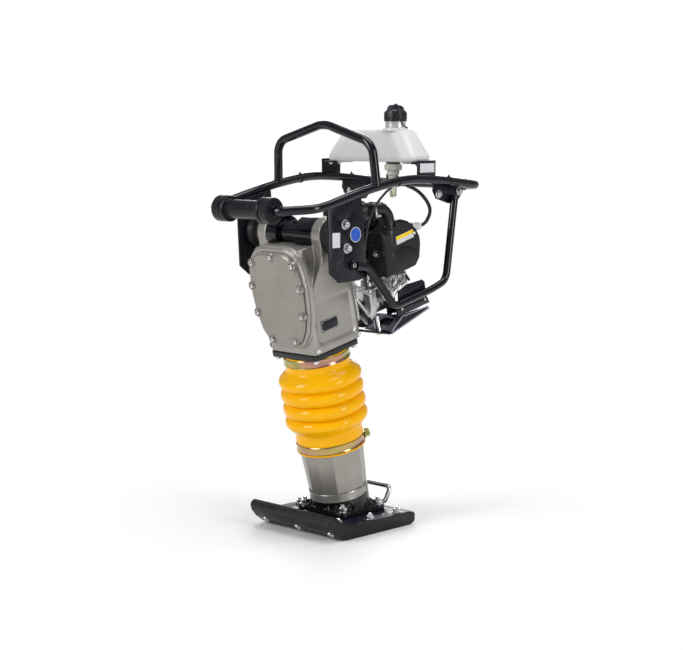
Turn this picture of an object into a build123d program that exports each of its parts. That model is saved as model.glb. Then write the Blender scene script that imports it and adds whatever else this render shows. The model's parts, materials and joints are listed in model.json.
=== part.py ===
from build123d import *
from math import cos, pi, radians, sin, tan
import os

# A trench rammer. The row frame stands on the floor under the middle of the shoe:
# +Z up, the toe and the machine's front face -Y, +X is the side of the air box.
# Everything from the foot to the engine leans forward with the leg, so it is drawn
# in a leg frame (along the leg is z) and then placed by LEG.

# ---- driving dimensions, mm ----
LEAN = 12.5                 # degrees that the leg leans forward
LEG_FOOT_Y = 40.0           # where the leg's axis meets the floor

SHOE_WIDTH = 280.0
DECK_TOP = 34.0
DECK_THICK = 6.0
TOE_TOP = 65.0

NECK_R = 73.0               # round neck of the foot casting
NECK_TOP = 82.0
STEP_TOP = 101.0            # round step below the facets
CYL_FACETS = 12
CYL_TOP = 250.0
CYL_BORE_R = 58.0
SPRING_TUBE_R = 43.0
SPRING_TUBE_BORE_R = 39.0
SPRING_TUBE_TOP = 424.0
ROD_R = 14.0
RUN_FIT = 0.06              # radial clearance of sliding and turning fits
BODY_GAP = 0.35             # clearance between pieces that move apart

BAIL_R = 6.0
COLLAR_R = 80.0             # seats of the bellows' two ends
UPPER_COLLAR_R = 76.0
BELLOWS_WALL = 3.5
BELLOWS_CREST_R = 103.0
BELLOWS_ROOT_R = 91.0
BELLOWS_CRESTS = (284.0, 320.0, 356.0, 391.0)
BAND_WIDTH = 20.0

FLANGE_HALF = 78.5
FLANGE_LOW = 459.0
CASE_LOW = 472.0
CASE_TOP = 734.0
CASE_HALF = 79.0
CASE_REAR = 87.0
CASE_FRONT = -76.0
RIM_FRONT = -88.0
COVER_FRONT = -97.0
CAVITY_HALF = 66.0
CAVITY_REAR = 66.0

MOUNT_Y = 14.0              # rubber shock mounts, on the rocking axis of the handle
MOUNT_Z = 750.0
MOUNT_R = 42.0
EAR_IN = 78.0
EAR_OUT = 108.0

MODULE = 2.0                # reduction gears
GEAR_TEETH = 60
PINION_TEETH = 15
GEAR_Z = 662.0
GEAR_Y = (34.0, 54.0)
THROW = 30.0                # crank pin's offset
CON_ROD_LENGTH = 128.0

BELL_REAR = 136.0           # joint between the clutch housing and the engine
BELL_R = 92.0

BOX_SIDE = 135.0            # air box, its duct runs level with the handle
AIR_X = 120.0
AIR_Y = 73.0
AIR_Z = 791.5
BOSS_TOP = 741.0
CANISTER_END = -22.0
HOSE_END = 14.0

SKID_X = 112.0              # near edge of the skid

PLATE_X = 158.0             # outer face of the side plates
PLATE_THICK = 5.5
BAR_X = 168.0
BAR_R = 10.75
TUBE_WALL = 2.3
GUARD_X = 168.0
GUARD_R = 9.5
ROLLER_Y = -282.0
ROLLER_Z = 798.6
ROLLER_HALF = 93.0
DISC_R = 31.0
DISC_WIDTH = 38.0
SLEEVE_R = 22.0
AXLE_R = 8.3
REAR_Y = 359.0
REAR_JOIN_Y = 300.0

TANK_LOW = 902.0
TANK_TOP = 982.0
TANK_WALL = 3.0
NECK_X = 62.0
NECK_Y = 158.0
TANK_NECK_R = 25.5
CAP_R = 28.5
CAP_LOW = 1001.3
CAP_TOP = 1042.0

LEG = Location((0, LEG_FOOT_Y, 0), (LEAN, 0, 0))
NODES = {}


# ---- helpers ----
def rod(start, end, r):
    """Solid cylinder from start to end."""
    start = Vector(*start)
    end = Vector(*end)
    plane = Plane(origin=start, z_dir=end - start)
    return extrude(plane * Circle(r), (end - start).length)


def pipe(start, end, r, bore):
    """Straight round tube."""
    start = Vector(*start)
    end = Vector(*end)
    plane = Plane(origin=start, z_dir=end - start)
    return extrude(plane * (Circle(r) - Circle(bore)), (end - start).length)


def ring(r, bore, z0, z1, x=0.0, y=0.0):
    """Round collar with its axis up."""
    return pipe((x, y, z0), (x, y, z1), r, bore)


def slab(x0, x1, y0, y1, z0, z1):
    """Box between its corner coordinates."""
    centre = ((x0 + x1) / 2, (y0 + y1) / 2, (z0 + z1) / 2)
    return Pos(*centre) * Box(x1 - x0, y1 - y0, z1 - z0)


def rounded_slab(x0, x1, y0, y1, z0, z1, r, axis=Axis.Z):
    """Box with the four edges along one axis rounded."""
    box = slab(x0, x1, y0, y1, z0, z1)
    return fillet(box.edges().filter_by(axis), r)


def side_profile(points, x0, x1):
    """Closed outline in the Y-Z plane, extruded from x0 to x1."""
    outline = make_face(Polyline([(x0, y, z) for y, z in points], close=True))
    return extrude(outline, x1 - x0, dir=(1, 0, 0))


def front_outline(points, y0, y1, corner):
    """Outline in the X-Z plane given by its right half, mirrored and extruded along Y."""
    half = [(x, y0, z) for x, z in points]
    other = [(-x, y0, z) for x, z in reversed(points)]
    face = make_face(Polyline(half + other, close=True))
    solid = extrude(face, y1 - y0, dir=(0, 1, 0))
    return fillet(solid.edges().filter_by(Axis.Y), corner)


def arc_radius(before, corner, after, share=0.45):
    """Largest comfortable bend radius at one corner of a route."""
    run_in = corner - before
    run_out = after - corner
    turn = radians(run_in.get_angle(run_out))
    return share * min(run_in.length, run_out.length) / tan(turn / 2)


def bent_path(points, radii=None):
    """Straight runs joined by tangent arcs. Corners with no radius given get a large one."""
    route = [Vector(*p) for p in points]
    wide = [arc_radius(*route[i - 1:i + 2]) for i in range(1, len(route) - 1)]
    if radii is not None:
        wide = [given or free for given, free in zip(radii, wide)]
    return FilletPolyline(*route, radius=wide)


def bent_rod(points, r, radii=None):
    """Solid round bar along a bent path."""
    path = bent_path(points, radii)
    start = Plane(origin=path @ 0, z_dir=path % 0)
    return sweep(start * Circle(r), path=path)


def bent_pipe(points, r, bore, radii=None):
    """Round tube along a bent path."""
    path = bent_path(points, radii)
    start = Plane(origin=path @ 0, z_dir=path % 0)
    return sweep(start * (Circle(r) - Circle(bore)), path=path)


def hex_head(centre, direction, across, height):
    """Hexagon head or nut that stands on centre."""
    plane = Plane(origin=centre, z_dir=direction)
    return extrude(plane * RegularPolygon(across / 2, 6, major_radius=False), height)


def bolt(centre, direction, shank_r, across, height, grip, stud=0.0):
    """Hexagon head on a washer, with a shank that reaches back by grip."""
    origin = Vector(*centre)
    way = Vector(*direction).normalized()
    washer = rod(origin, origin + way * 1.6, across * 0.68)
    head = hex_head(origin + way * 1.6, way, across, height)
    shank = rod(origin - way * grip, origin + way * (1.6 + height + stud), shank_r)
    return washer + head + shank


def socket_screw(centre, direction, shank_r, head_r, height, grip):
    """Cap screw with a hexagon socket."""
    origin = Vector(*centre)
    way = Vector(*direction).normalized()
    head = rod(origin, origin + way * height, head_r)
    shank = rod(origin - way * grip, origin, shank_r)
    socket = hex_head(origin + way * height * 0.45, way, head_r * 0.95, height)
    return head + shank - socket


def both_sides(solid):
    """The solid and its mirror image across X = 0."""
    return [solid, mirror(solid, Plane.YZ)]


def keep(name, *shapes):
    """Register the solids of one node."""
    solids = []
    for shape in shapes:
        solids += shape if isinstance(shape, list) else list(shape.solids())
    flat = []
    for solid in solids:
        flat += list(solid.solids())
    NODES[name] = Compound(children=flat) if len(flat) > 1 else flat[0]


def on_leg(name, *shapes):
    """Register solids that are drawn in the leg frame."""
    placed = []
    for shape in shapes:
        group = shape if isinstance(shape, list) else list(shape.solids())
        placed += [LEG * solid for solid in group]
    keep(name, placed)


# ---- shoe ----
def shoe():
    outer = [(-137, 65), (-147, 61), (-151, 53), (-147, 40), (-134, 24), (-108, 4.5), (-90, 0), (133, 0),
             (147, 5), (151, 11), (151, 25), (146, 31), (130, 34)]
    inner = [(-84, DECK_TOP), (-108, 46), (-121, 57)]
    half = SHOE_WIDTH / 2
    whole = side_profile(outer + inner, -half, half)
    deck_top = [(122, DECK_TOP), (-84, DECK_TOP), (-108, 46), (-119, 55)]
    deck_low = [(-122, 50), (-110, 40.5), (-85, DECK_TOP - DECK_THICK), (122, DECK_TOP - DECK_THICK)]
    deck = side_profile(deck_top + deck_low, -half + 4, half - 4)
    body = whole - deck
    return body, deck


def toe_bolt(x):
    way = Vector(0, 0.65, 0.76)
    seat = Vector(x, -122.0, 14.6)
    head = rod(seat - way * 1.2, seat + way * 4, 9)
    shank = rod(seat, seat + way * 44, 5)
    washer = rod(seat + way * 32.5, seat + way * 34, 11)
    nut = hex_head(seat + way * 34, way, 17, 9)
    return head + shank + washer + nut


def deck_bolt(x, y):
    shank = rod((x, y, 6), (x, y, DECK_TOP + 15), 5)
    head = rod((x, y, 3), (x, y, 8), 10)
    washer = rod((x, y, DECK_TOP), (x, y, DECK_TOP + 1.6), 11)
    nut = hex_head((x, y, DECK_TOP + 1.6), (0, 0, 1), 17, 9)
    return head + shank + washer + nut


def foot_bolt(x, y):
    low = DECK_TOP + 14
    shank = rod((x, y, 8), (x, y, low + 19), 6)
    head = rod((x, y, 5), (x, y, 12), 11)
    washer = rod((x, y, low), (x, y, low + 2), 13)
    nut = hex_head((x, y, low + 2), (0, 0, 1), 19, 11)
    return head + shank + washer + nut


FOOT_BOLTS = [(x, y) for x in (-66.5, 66.5) for y in (-32.0, 93.0)]
DECK_BOLTS = [(x, y) for x in (-124.0, 124.0) for y in (4.0, 101.0)]
TOE_BOLT_X = (-114.0, 0.0, 114.0)


def make_shoe():
    body, deck = shoe()
    toe = [toe_bolt(x) for x in TOE_BOLT_X]
    studs = [deck_bolt(x, y) for x, y in DECK_BOLTS]
    feet = [foot_bolt(x, y) for x, y in FOOT_BOLTS]
    for piece in toe + studs + feet:
        body -= piece
        deck -= piece
    keep("shoe_body", body)
    keep("shoe_deck_plate", deck)
    keep("shoe_bolts", toe + studs + feet)
    return feet


def make_foot(feet):
    middle_y = 30.5
    flange = Pos(0, middle_y, DECK_TOP + 7) * Box(160, 152, 14)
    flange = fillet(flange.edges().filter_by(Axis.Z), 18)
    neck = LEG * Pos(0, 0, NECK_TOP / 2) * Cylinder(NECK_R, NECK_TOP)
    above = slab(-100, 100, -90, 160, DECK_TOP, 120)
    foot = flange + (neck & above)
    for x, y in FOOT_BOLTS:
        way = Vector(-x, 24 - y, 0).normalized()
        side = Vector(-way.Y, way.X, 0)
        for shift in (-15, 15):
            out = Vector(x, y, DECK_TOP + 7) + side * shift - way * 6
            rib = Polyline(out, out + way * 32, out + way * 32 + Vector(0, 0, 26), close=True)
            foot += extrude(make_face(rib), 3, dir=side, both=True)
    foot -= LEG * rod((0, 0, NECK_TOP), (0, 0, NECK_TOP + 80), NECK_R + 30)
    foot -= LEG * rod((0, 0, 48), (0, 0, 120), SPRING_TUBE_R + 0.05)
    for piece in feet:
        foot -= piece
    keep("foot_casting", foot)


def make_bail():
    half = [(52, 104, DECK_TOP + 8), (66, 122, 52), (76, 131, 88)]
    points = half + [(-x, y, z) for x, y, z in reversed(half)]
    bail = bent_rod(points, BAIL_R, [8, 12, 12, 8])
    bail -= NODES["foot_casting"]
    for solid in NODES["shoe_bolts"].solids():
        bail -= solid
    keep("tie_down_bail", bail)


# ---- spring leg ----
def make_leg():
    step = ring(NECK_R, CYL_BORE_R, NECK_TOP, STEP_TOP)
    lower = Pos(0, 0, STEP_TOP) * RegularPolygon(72.5, CYL_FACETS, rotation=15)
    upper = Pos(0, 0, 207) * RegularPolygon(79, CYL_FACETS, rotation=15)
    facets = loft([lower, upper]) - rod((0, 0, 90), (0, 0, 215), CYL_BORE_R)
    collar = ring(COLLAR_R, CYL_BORE_R, 207, CYL_TOP)
    on_leg("spring_cylinder", step + facets + collar)

    floor = rod((0, 0, 48), (0, 0, 58), SPRING_TUBE_R)
    tube = ring(SPRING_TUBE_R, SPRING_TUBE_BORE_R, 58, SPRING_TUBE_TOP)
    plug = ring(SPRING_TUBE_BORE_R - 0.02, ROD_R + RUN_FIT, SPRING_TUBE_TOP - 12, SPRING_TUBE_TOP)
    lid = ring(SPRING_TUBE_R, ROD_R + RUN_FIT, SPRING_TUBE_TOP, SPRING_TUBE_TOP + 6)
    on_leg("spring_tube", floor + tube, plug + lid)
    lower_coil = coil(58.2, 239.8, 31.0, 5.5, 6)
    upper_coil = coil(260.2, SPRING_TUBE_TOP - 12.2, 31.0, 5.5, 5)
    on_leg("leg_springs", lower_coil, upper_coil)

    plug_y = NECK_R * cos(pi / CYL_FACETS)
    sight_z = STEP_TOP + 24
    sight = rod((0, plug_y - 6, sight_z), (0, plug_y + 5, sight_z), 11)
    sight += hex_head((0, plug_y + 5, sight_z), (0, 1, 0), 19, 5)
    cylinder = NODES["spring_cylinder"] - LEG * sight
    keep("spring_cylinder", cylinder, LEG * sight)


def coil(z0, z1, r, wire_r, turns):
    """Compression spring of stacked rings joined by a rising helix."""
    height = z1 - z0 - 2 * wire_r
    helix = Helix(height / turns, height, r, center=(0, 0, z0 + wire_r))
    start = Plane(origin=helix @ 0, z_dir=helix % 0)
    return sweep(start * Circle(wire_r), path=helix, is_frenet=True)


def bellows_profile():
    """Half section of the bellows, outer side then inner side."""
    low_out = COLLAR_R + 0.1 + BELLOWS_WALL
    top_out = UPPER_COLLAR_R + BODY_GAP + BELLOWS_WALL
    outer = [(low_out, 207), (low_out, 262)]
    for i, z in enumerate(BELLOWS_CRESTS):
        outer += [(BELLOWS_CREST_R - 4, z - 8), (BELLOWS_CREST_R, z), (BELLOWS_CREST_R - 4, z + 8)]
        if i < len(BELLOWS_CRESTS) - 1:
            outer.append((BELLOWS_ROOT_R, (z + BELLOWS_CRESTS[i + 1]) / 2))
    outer += [(top_out + 3, 414), (top_out, 424), (top_out, 450)]
    inner = [(r - BELLOWS_WALL, z) for r, z in outer]
    return outer + inner[::-1]


def make_bellows():
    points = bellows_profile()
    section = make_face(Polyline([(r, 0, z) for r, z in points], close=True))
    on_leg("bellows", revolve(section, Axis.Z))
    low_r = COLLAR_R + 0.1 + BELLOWS_WALL
    top_r = UPPER_COLLAR_R + 2 * BODY_GAP + BELLOWS_WALL
    for name, r, low in (("lower_clamp_band", low_r, 212), ("upper_clamp_band", top_r, 428)):
        band = ring(r + 2.0, r + 0.02, low, low + BAND_WIDTH)
        lug_a = slab(-9, -4, r + 1, r + 17, low + 2, low + BAND_WIDTH - 2)
        lug_b = slab(4, 9, r + 1, r + 17, low + 2, low + BAND_WIDTH - 2)
        gap = slab(-4, 4, r - 4, r + 20, low - 1, low + BAND_WIDTH + 1)
        screw_z = low + BAND_WIDTH / 2
        screw = rod((-22, r + 10, screw_z), (16, r + 10, screw_z), 3)
        screw += hex_head((9, r + 10, screw_z), (1, 0, 0), 10, 6)
        screw += hex_head((-9, r + 10, screw_z), (-1, 0, 0), 10, 6)
        turn = Rot(0, 0, -36) if low < 300 else Rot(0, 0, 24)
        on_leg(name, turn * (band + lug_a + lug_b - gap - screw), turn * screw)


# ---- gear case ----
COVER_OUTLINE = [(0, 731), (38, 731), (62, 722), (76, 704), (85, 678), (88, 645), (87, 607), (82, 574), (74, 540),
                 (57, 513), (44, 503), (0, 503)]
COVER_SCREWS = [(0, 720)] + [(s * x, z) for x, z in ((69, 702), (80.5, 645), (76, 578), (40, 513)) for s in (-1, 1)]


def widened(points, grow):
    """Outline moved outwards from its middle by about grow."""
    middle = 617.0
    result = []
    for x, z in points:
        reach = (x * x + (z - middle) ** 2) ** 0.5
        scale = (reach + grow) / reach
        result.append((x * scale, middle + (z - middle) * scale))
    return result


def half_outline(points):
    """Drops the points on the middle line, which the mirrored outline joins by itself."""
    return [p for p in points if p[0] > 1]


def make_case():
    body = rounded_slab(-CASE_HALF, CASE_HALF, CASE_FRONT, CASE_REAR, CASE_LOW, CASE_TOP, 12)
    rim = front_outline(half_outline(widened(COVER_OUTLINE, 9)), RIM_FRONT, -62, 8)
    case = body + rim
    for ear_side in (-1, 1):
        ear = rod((EAR_IN * ear_side, MOUNT_Y, MOUNT_Z), (EAR_OUT * ear_side, MOUNT_Y, MOUNT_Z), MOUNT_R + 2)
        web = [(70, 656), (79, 672), (90, 687), (103, 706), (EAR_OUT, 726), (EAR_OUT, MOUNT_Z), (EAR_IN, MOUNT_Z),
               (EAR_IN, CASE_TOP), (70, CASE_TOP)]
        outline = make_face(Polyline([(ear_side * x, -29, z) for x, z in web], close=True))
        case += ear + extrude(outline, 86, dir=(0, 1, 0))
        wall = CASE_HALF * ear_side
        case -= rounded_slab(wall - 3, wall + 3, -56, 70, 492, 640, 12, Axis.X)
    case -= rounded_slab(-CAVITY_HALF, CAVITY_HALF, CASE_FRONT + 8, CAVITY_REAR, 490, 726, 12, Axis.Y)
    case -= front_outline(half_outline(widened(COVER_OUTLINE, -16)), RIM_FRONT - 4, CASE_FRONT + 10, 9)
    case -= rod((0, 0, CASE_LOW - 2), (0, 0, 495), 52)
    pinion_z = GEAR_Z - MODULE * (GEAR_TEETH + PINION_TEETH) / 2
    case -= rod((0, CAVITY_REAR - 2, pinion_z), (0, CASE_REAR + 2, pinion_z), 26)
    case -= rod((0, CAVITY_REAR - 2, GEAR_Z), (0, CASE_REAR + 2, GEAR_Z), 24)
    for x, z in COVER_SCREWS:
        case -= rod((x, RIM_FRONT - 1, z), (x, RIM_FRONT + 22, z), 3.05)
    return case, pinion_z


def make_cover(flange_bolts):
    rim = front_outline(half_outline(COVER_OUTLINE), COVER_FRONT + 4, RIM_FRONT - 0.8, 9)
    face = front_outline(half_outline(widened(COVER_OUTLINE, -4)), COVER_FRONT, COVER_FRONT + 4.5, 9)
    cover = rim + face
    gasket = front_outline(half_outline(COVER_OUTLINE), RIM_FRONT - 0.8, RIM_FRONT, 9)
    gasket -= front_outline(half_outline(widened(COVER_OUTLINE, -18)), RIM_FRONT - 3, RIM_FRONT + 3, 9)
    screws = []
    for x, z in COVER_SCREWS:
        screw = socket_screw((x, COVER_FRONT + 1, z), (0, -1, 0), 3.0, 6.2, 5.5, 24)
        screws.append(screw)
        cover -= rod((x, COVER_FRONT - 2, z), (x, COVER_FRONT + 1, z), 6.4)
        cover -= rod((x, COVER_FRONT - 2, z), (x, RIM_FRONT + 1, z), 3.05)
        gasket -= rod((x, RIM_FRONT - 2, z), (x, RIM_FRONT + 1, z), 3.05)
    on_leg("front_cover", cover, gasket.solids().sort_by(SortBy.VOLUME)[-1])
    on_leg("case_bolts", screws, flange_bolts)


def make_guide():
    flange = slab(-FLANGE_HALF, FLANGE_HALF, -FLANGE_HALF, FLANGE_HALF, FLANGE_LOW, CASE_LOW)
    flange = chamfer(flange.edges().filter_by(Axis.Z), 9)
    collar = rod((0, 0, 425), (0, 0, FLANGE_LOW), UPPER_COLLAR_R)
    tube = rod((0, 0, 130), (0, 0, 430), 53)
    guide = flange + collar + tube - rod((0, 0, 100), (0, 0, 500), 47)
    bolts = []
    for x in (-66, 66):
        for y in (-66, 66):
            bolts.append(bolt((x, y, FLANGE_LOW), (0, 0, -1), 4, 13, 7, 24))
            guide -= rod((x, y, FLANGE_LOW - 1), (x, y, CASE_LOW + 1), 4.05)
    bushes = [ring(46.98, SPRING_TUBE_R + RUN_FIT, z, z + 36) for z in (132, 330)]
    on_leg("guide_cylinder", guide, bushes)
    return bolts


def gear_blank(teeth, y0, y1, z, turn=0.0):
    """Spur gear about an axis along Y, with straight-flanked teeth cut a little thin."""
    pitch_r = MODULE * teeth / 2
    root_r = pitch_r - 1.25 * MODULE
    tip_r = pitch_r + 0.9 * MODULE
    width = pi * MODULE * 0.40
    flank = [(-width * 0.72, root_r), (-width * 0.46, pitch_r), (-width * 0.24, tip_r), (width * 0.24, tip_r),
             (width * 0.46, pitch_r), (width * 0.72, root_r)]
    outline = []
    for i in range(teeth):
        angle = radians(turn + 360.0 * i / teeth)
        for across, out in flank:
            x = across * cos(angle) + out * sin(angle)
            h = out * cos(angle) - across * sin(angle)
            outline.append((x, y0, z + h))
    return extrude(make_face(Polyline(outline, close=True)), y1 - y0, dir=(0, 1, 0))


def make_gears(pinion_z):
    y0, y1 = GEAR_Y
    gear = gear_blank(GEAR_TEETH, y0, y1, GEAR_Z)
    gear += rod((0, y0, GEAR_Z), (0, 84, GEAR_Z), 14)
    gear += rod((0, y0 - 14, GEAR_Z - THROW), (0, y0, GEAR_Z - THROW), 24)
    gear += rod((0, -14, GEAR_Z - THROW), (0, y0, GEAR_Z - THROW), 13)
    on_leg("crank_gear", gear)

    big = rod((0, -12, GEAR_Z - THROW), (0, 12, GEAR_Z - THROW), 24)
    small_z = GEAR_Z - THROW - CON_ROD_LENGTH
    small = rod((0, -12, small_z), (0, 12, small_z), 15)
    web = slab(-9, 9, -7, 7, small_z + 8, GEAR_Z - THROW - 14)
    con_rod = big + small + web
    con_rod -= rod((0, -20, GEAR_Z - THROW), (0, 20, GEAR_Z - THROW), 13 + RUN_FIT)
    con_rod -= rod((0, -20, small_z), (0, 20, small_z), 8)
    on_leg("connecting_rod", con_rod)

    gap_up = 180.0 / PINION_TEETH
    pinion = gear_blank(PINION_TEETH, y0, y1, pinion_z, gap_up)
    pinion += rod((0, y0, pinion_z), (0, 92, pinion_z), 10)
    drum = rod((0, 92, pinion_z), (0, 122, pinion_z), 44) - rod((0, 96, pinion_z), (0, 123, pinion_z), 40)
    on_leg("pinion_and_clutch_drum", pinion + drum)

    gear_bearing = pipe((0, 67, GEAR_Z), (0, 83, GEAR_Z), 23.98, 14 + RUN_FIT)
    pinion_bearing = pipe((0, 67, pinion_z), (0, 83, pinion_z), 25.98, 10 + RUN_FIT)
    on_leg("shaft_bearings", gear_bearing, pinion_bearing)

    piston = rod((0, 0, 240), (0, 0, 260), SPRING_TUBE_BORE_R - RUN_FIT)
    top = small_z - 15.5
    rod_body = rod((0, 0, 224), (0, 0, top), ROD_R) + hex_head((0, 0, 222), (0, 0, 1), 36, 17.9)
    on_leg("piston_rod", rod_body + piston)


def make_mounts():
    mount = rod((EAR_OUT, MOUNT_Y, MOUNT_Z), (PLATE_X - PLATE_THICK - BODY_GAP, MOUNT_Y, MOUNT_Z), MOUNT_R)
    waist = pipe((122, MOUNT_Y, MOUNT_Z), (138, MOUNT_Y, MOUNT_Z), MOUNT_R + 2, MOUNT_R - 3)
    on_leg("shock_mounts", both_sides(mount - waist))
    inner = EAR_IN - 0.2
    cross = rod((-inner, MOUNT_Y, MOUNT_Z), (inner, MOUNT_Y, MOUNT_Z), 30)
    cross += rod((18, MOUNT_Y, MOUNT_Z), (inner, MOUNT_Y, MOUNT_Z), MOUNT_R)
    cross += rod((-inner, MOUNT_Y, MOUNT_Z), (-44, MOUNT_Y, MOUNT_Z), MOUNT_R)
    cross -= rod((-EAR_IN, MOUNT_Y, MOUNT_Z), (EAR_IN, MOUNT_Y, MOUNT_Z), 22)
    cross -= slab(-EAR_IN, EAR_IN, -60, 80, 690, CASE_TOP + 0.2)
    on_leg("cross_tube", cross.solids().sort_by(SortBy.VOLUME)[-1])


# ---- engine ----
def make_engine(pinion_z):
    skirt = rounded_slab(-74, 74, CASE_REAR, CASE_REAR + 9, 496, 672, 24, Axis.Y)
    narrow = Plane(origin=(0, CASE_REAR + 6, pinion_z), z_dir=(0, 1, 0)) * Circle(64)
    wide = Plane(origin=(0, BELL_REAR - 8, pinion_z), z_dir=(0, 1, 0)) * Circle(80)
    bell = skirt + loft([narrow, wide]) + rod((0, BELL_REAR - 9, pinion_z), (0, BELL_REAR, pinion_z), BELL_R)
    for i in range(10):
        rib = side_profile([(CASE_REAR + 4, 60), (CASE_REAR + 4, 72), (BELL_REAR - 4, 89), (BELL_REAR - 4, 60)], -3, 3)
        bell += Pos(0, 0, pinion_z) * Rot(0, 18 + 36 * i, 0) * rib
    bell -= rod((0, CASE_REAR - 1, pinion_z), (0, BELL_REAR + 1, pinion_z), 48)
    bell -= slab(-60, 60, CASE_REAR + 20, BELL_REAR + 1, 645, 700)
    on_leg("clutch_housing", bell)

    rotor = rod((0, 98, pinion_z), (0, 118, pinion_z), 34) + rod((0, 118, pinion_z), (0, 148, pinion_z), 10)
    rotor -= slab(-2, 2, 97, 117, pinion_z - 40, pinion_z - 12)
    rotor -= slab(-2, 2, 97, 117, pinion_z + 12, pinion_z + 40)
    on_leg("clutch_shoes", rotor)

    block = rounded_slab(-66, 72, BELL_REAR + 4, 226, 520, 644, 14, Axis.Y)
    face = rod((0, BELL_REAR, pinion_z), (0, BELL_REAR + 9, pinion_z), BELL_R - 2)
    block += face - slab(-60, 60, BELL_REAR - 1, BELL_REAR + 10, 644, 700)
    block += slab(-60, 60, BELL_REAR + 2, 222, 506, 521)
    block -= rod((0, BELL_REAR - 1, pinion_z), (0, BELL_REAR + 12, pinion_z), 14)
    on_leg("engine_block", block)

    barrel = rounded_slab(-40, 40, 136, 212, 644, 706, 12)
    for i in range(6):
        z = 650 + i * 9.0
        barrel += rounded_slab(-52, 52, 130, 220, z, z + 3, 14)
    on_leg("engine_cylinder", barrel)
    head = rounded_slab(-44, 44, 134, 214, 706, 730, 12)
    for i in range(5):
        y = 140 + i * 17.0
        head += slab(-50, 50, y, y + 4, 708, 728)
    rocker = rounded_slab(-36, 36, 142, 206, 730, 750, 14)
    plug = rod((-20, 200, 719), (-20, 234, 728.5), 7) + hex_head((-20, 216, 723), (0, 0.96, 0.27), 18, 6)
    on_leg("cylinder_head", head - plug, rocker)

    shroud = rod((0, 226, pinion_z + 6), (0, 262, pinion_z + 6), 74)
    shroud += slab(-60, 60, 226, 262, 640, 704)
    on_leg("fan_shroud", shroud)
    recoil = rod((0, 262, pinion_z + 6), (0, 290, pinion_z + 6), 62)
    recoil = fillet(recoil.edges().group_by(Axis.Y)[-1], 9)
    recoil -= rod((0, 286, pinion_z + 6), (0, 291, pinion_z + 6), 20)
    guide = rod((-46, 277, pinion_z + 40), (-46, 277, pinion_z + 84), 9)
    recoil += guide
    recoil -= rod((-46, 277, pinion_z + 50), (-46, 277, pinion_z + 86), 4)
    on_leg("recoil_starter", recoil)
    grip_low = pinion_z + 84.4
    grip = rounded_slab(-68, -24, 268, 286, grip_low, grip_low + 15, 7, Axis.Y)
    grip += rod((-46, 277, grip_low - 24), (-46, 277, grip_low), 3.6)
    on_leg("starter_grip", grip)

    cap = rod((-20, 226, 726.3), (-20, 252, 733.6), 11) + rod((-20, 248, 730), (-20, 250, 706), 8)
    on_leg("spark_plug", plug, cap - plug)


def make_silencer():
    can = rounded_slab(-146, -86, 140, 236, 612, 706, 22, Axis.Y)
    can -= rounded_slab(-143.5, -88.5, 142.5, 233.5, 614.5, 703.5, 19.5, Axis.Y)
    can += pipe((-120, 158, 702), (-120, 158, 722), 9, 7)
    neck = rod((-88, 176, 690), (-45, 176, 690), 12) - LEG.inverse() * NODES["engine_cylinder"]
    can += neck.solids().sort_by(SortBy.VOLUME)[-1]
    shield = rounded_slab(-152, -148, 146, 230, 618, 700, 12, Axis.X)
    for i in range(5):
        z = 630 + i * 14.0
        shield -= rounded_slab(-153, -147, 158, 218, z, z + 6, 2.5, Axis.X)
    posts = [rod((-148, y, 659), (-145.5, y, 659), 4) for y in (152, 224)]
    for post in posts:
        shield += post
    on_leg("silencer", can, shield - can)


def make_intake():
    box = side_profile([(152, 606), (213, 605), (256, 607), (274, 623), (284, 656), (285, 675), (276, 697),
                        (251, 723), (229, 733), (206, 735), (197, 722), (186, 716), (153, 716)], 74, BOX_SIDE)
    box = fillet(box.faces().sort_by(Axis.X)[-1].edges(), 7)
    boss = LEG.inverse() * rod((AIR_X, AIR_Y, 706), (AIR_X, AIR_Y, BOSS_TOP), 17)
    boss += LEG.inverse() * Pos(AIR_X, AIR_Y, 698) * Cone(6, 17, 16)
    on_leg("air_box_cover", box + boss)
    screw = bolt((107, 152, 665), (0, -1, 0), 3, 11, 5, 10)
    cover = NODES["air_box_cover"] - LEG * screw
    cover -= rod((AIR_X, AIR_Y, BOSS_TOP), (AIR_X, AIR_Y, BOSS_TOP + 60), 16.5)
    keep("air_box_cover", cover, LEG * screw)

    # carburettor with its manifold to the cylinder
    carb = rounded_slab(72.3, 104, 150, 196, 560, 600, 8, Axis.X)
    carb += rod((90, 174, 544), (90, 174, 562), 16)
    carb += rod((90, 174, 598), (90, 174, 604.8), 13)
    carb += rod((88, 196, 585), (88, 240, 585), 11) + slab(76, 98, 206, 258, 560, 594)
    on_leg("carburettor", carb)
    choke = rod((104.3, 162, 590), (109.5, 162, 590), 6) + slab(107, 109.5, 158, 166, 564, 592)
    on_leg("choke_lever", choke)


def make_air_duct():
    """Parts drawn in the row frame, level with the handle: canister, ribbed hose and elbow."""
    hose = pipe((AIR_X, CANISTER_END + 0.2, AIR_Z), (AIR_X, HOSE_END, AIR_Z), 12.5, 10)
    for i in range(5):
        y = CANISTER_END + 3 + i * 7.0
        hose += pipe((AIR_X, y, AIR_Z), (AIR_X, y + 3.4, AIR_Z), 16.5, 10)
    keep("ribbed_air_hose", hose)
    start = HOSE_END + 0.2
    elbow = bent_pipe([(AIR_X, start, AIR_Z), (AIR_X, AIR_Y, AIR_Z), (AIR_X, AIR_Y, BOSS_TOP + 0.2)], 13.5, 10.5, [30])
    elbow += pipe((AIR_X, start, AIR_Z), (AIR_X, start + 8, AIR_Z), 15.5, 13.4)
    elbow += pipe((AIR_X, AIR_Y, BOSS_TOP + 0.2), (AIR_X, AIR_Y, BOSS_TOP + 8), 15.5, 13.4)
    keep("air_elbow", elbow)
    can = rod((AIR_X, CANISTER_END - 36, AIR_Z), (AIR_X, CANISTER_END, AIR_Z), 22)
    can = fillet(can.edges().group_by(Axis.Y)[0], 6)
    keep("air_filter_canister", can)


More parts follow.
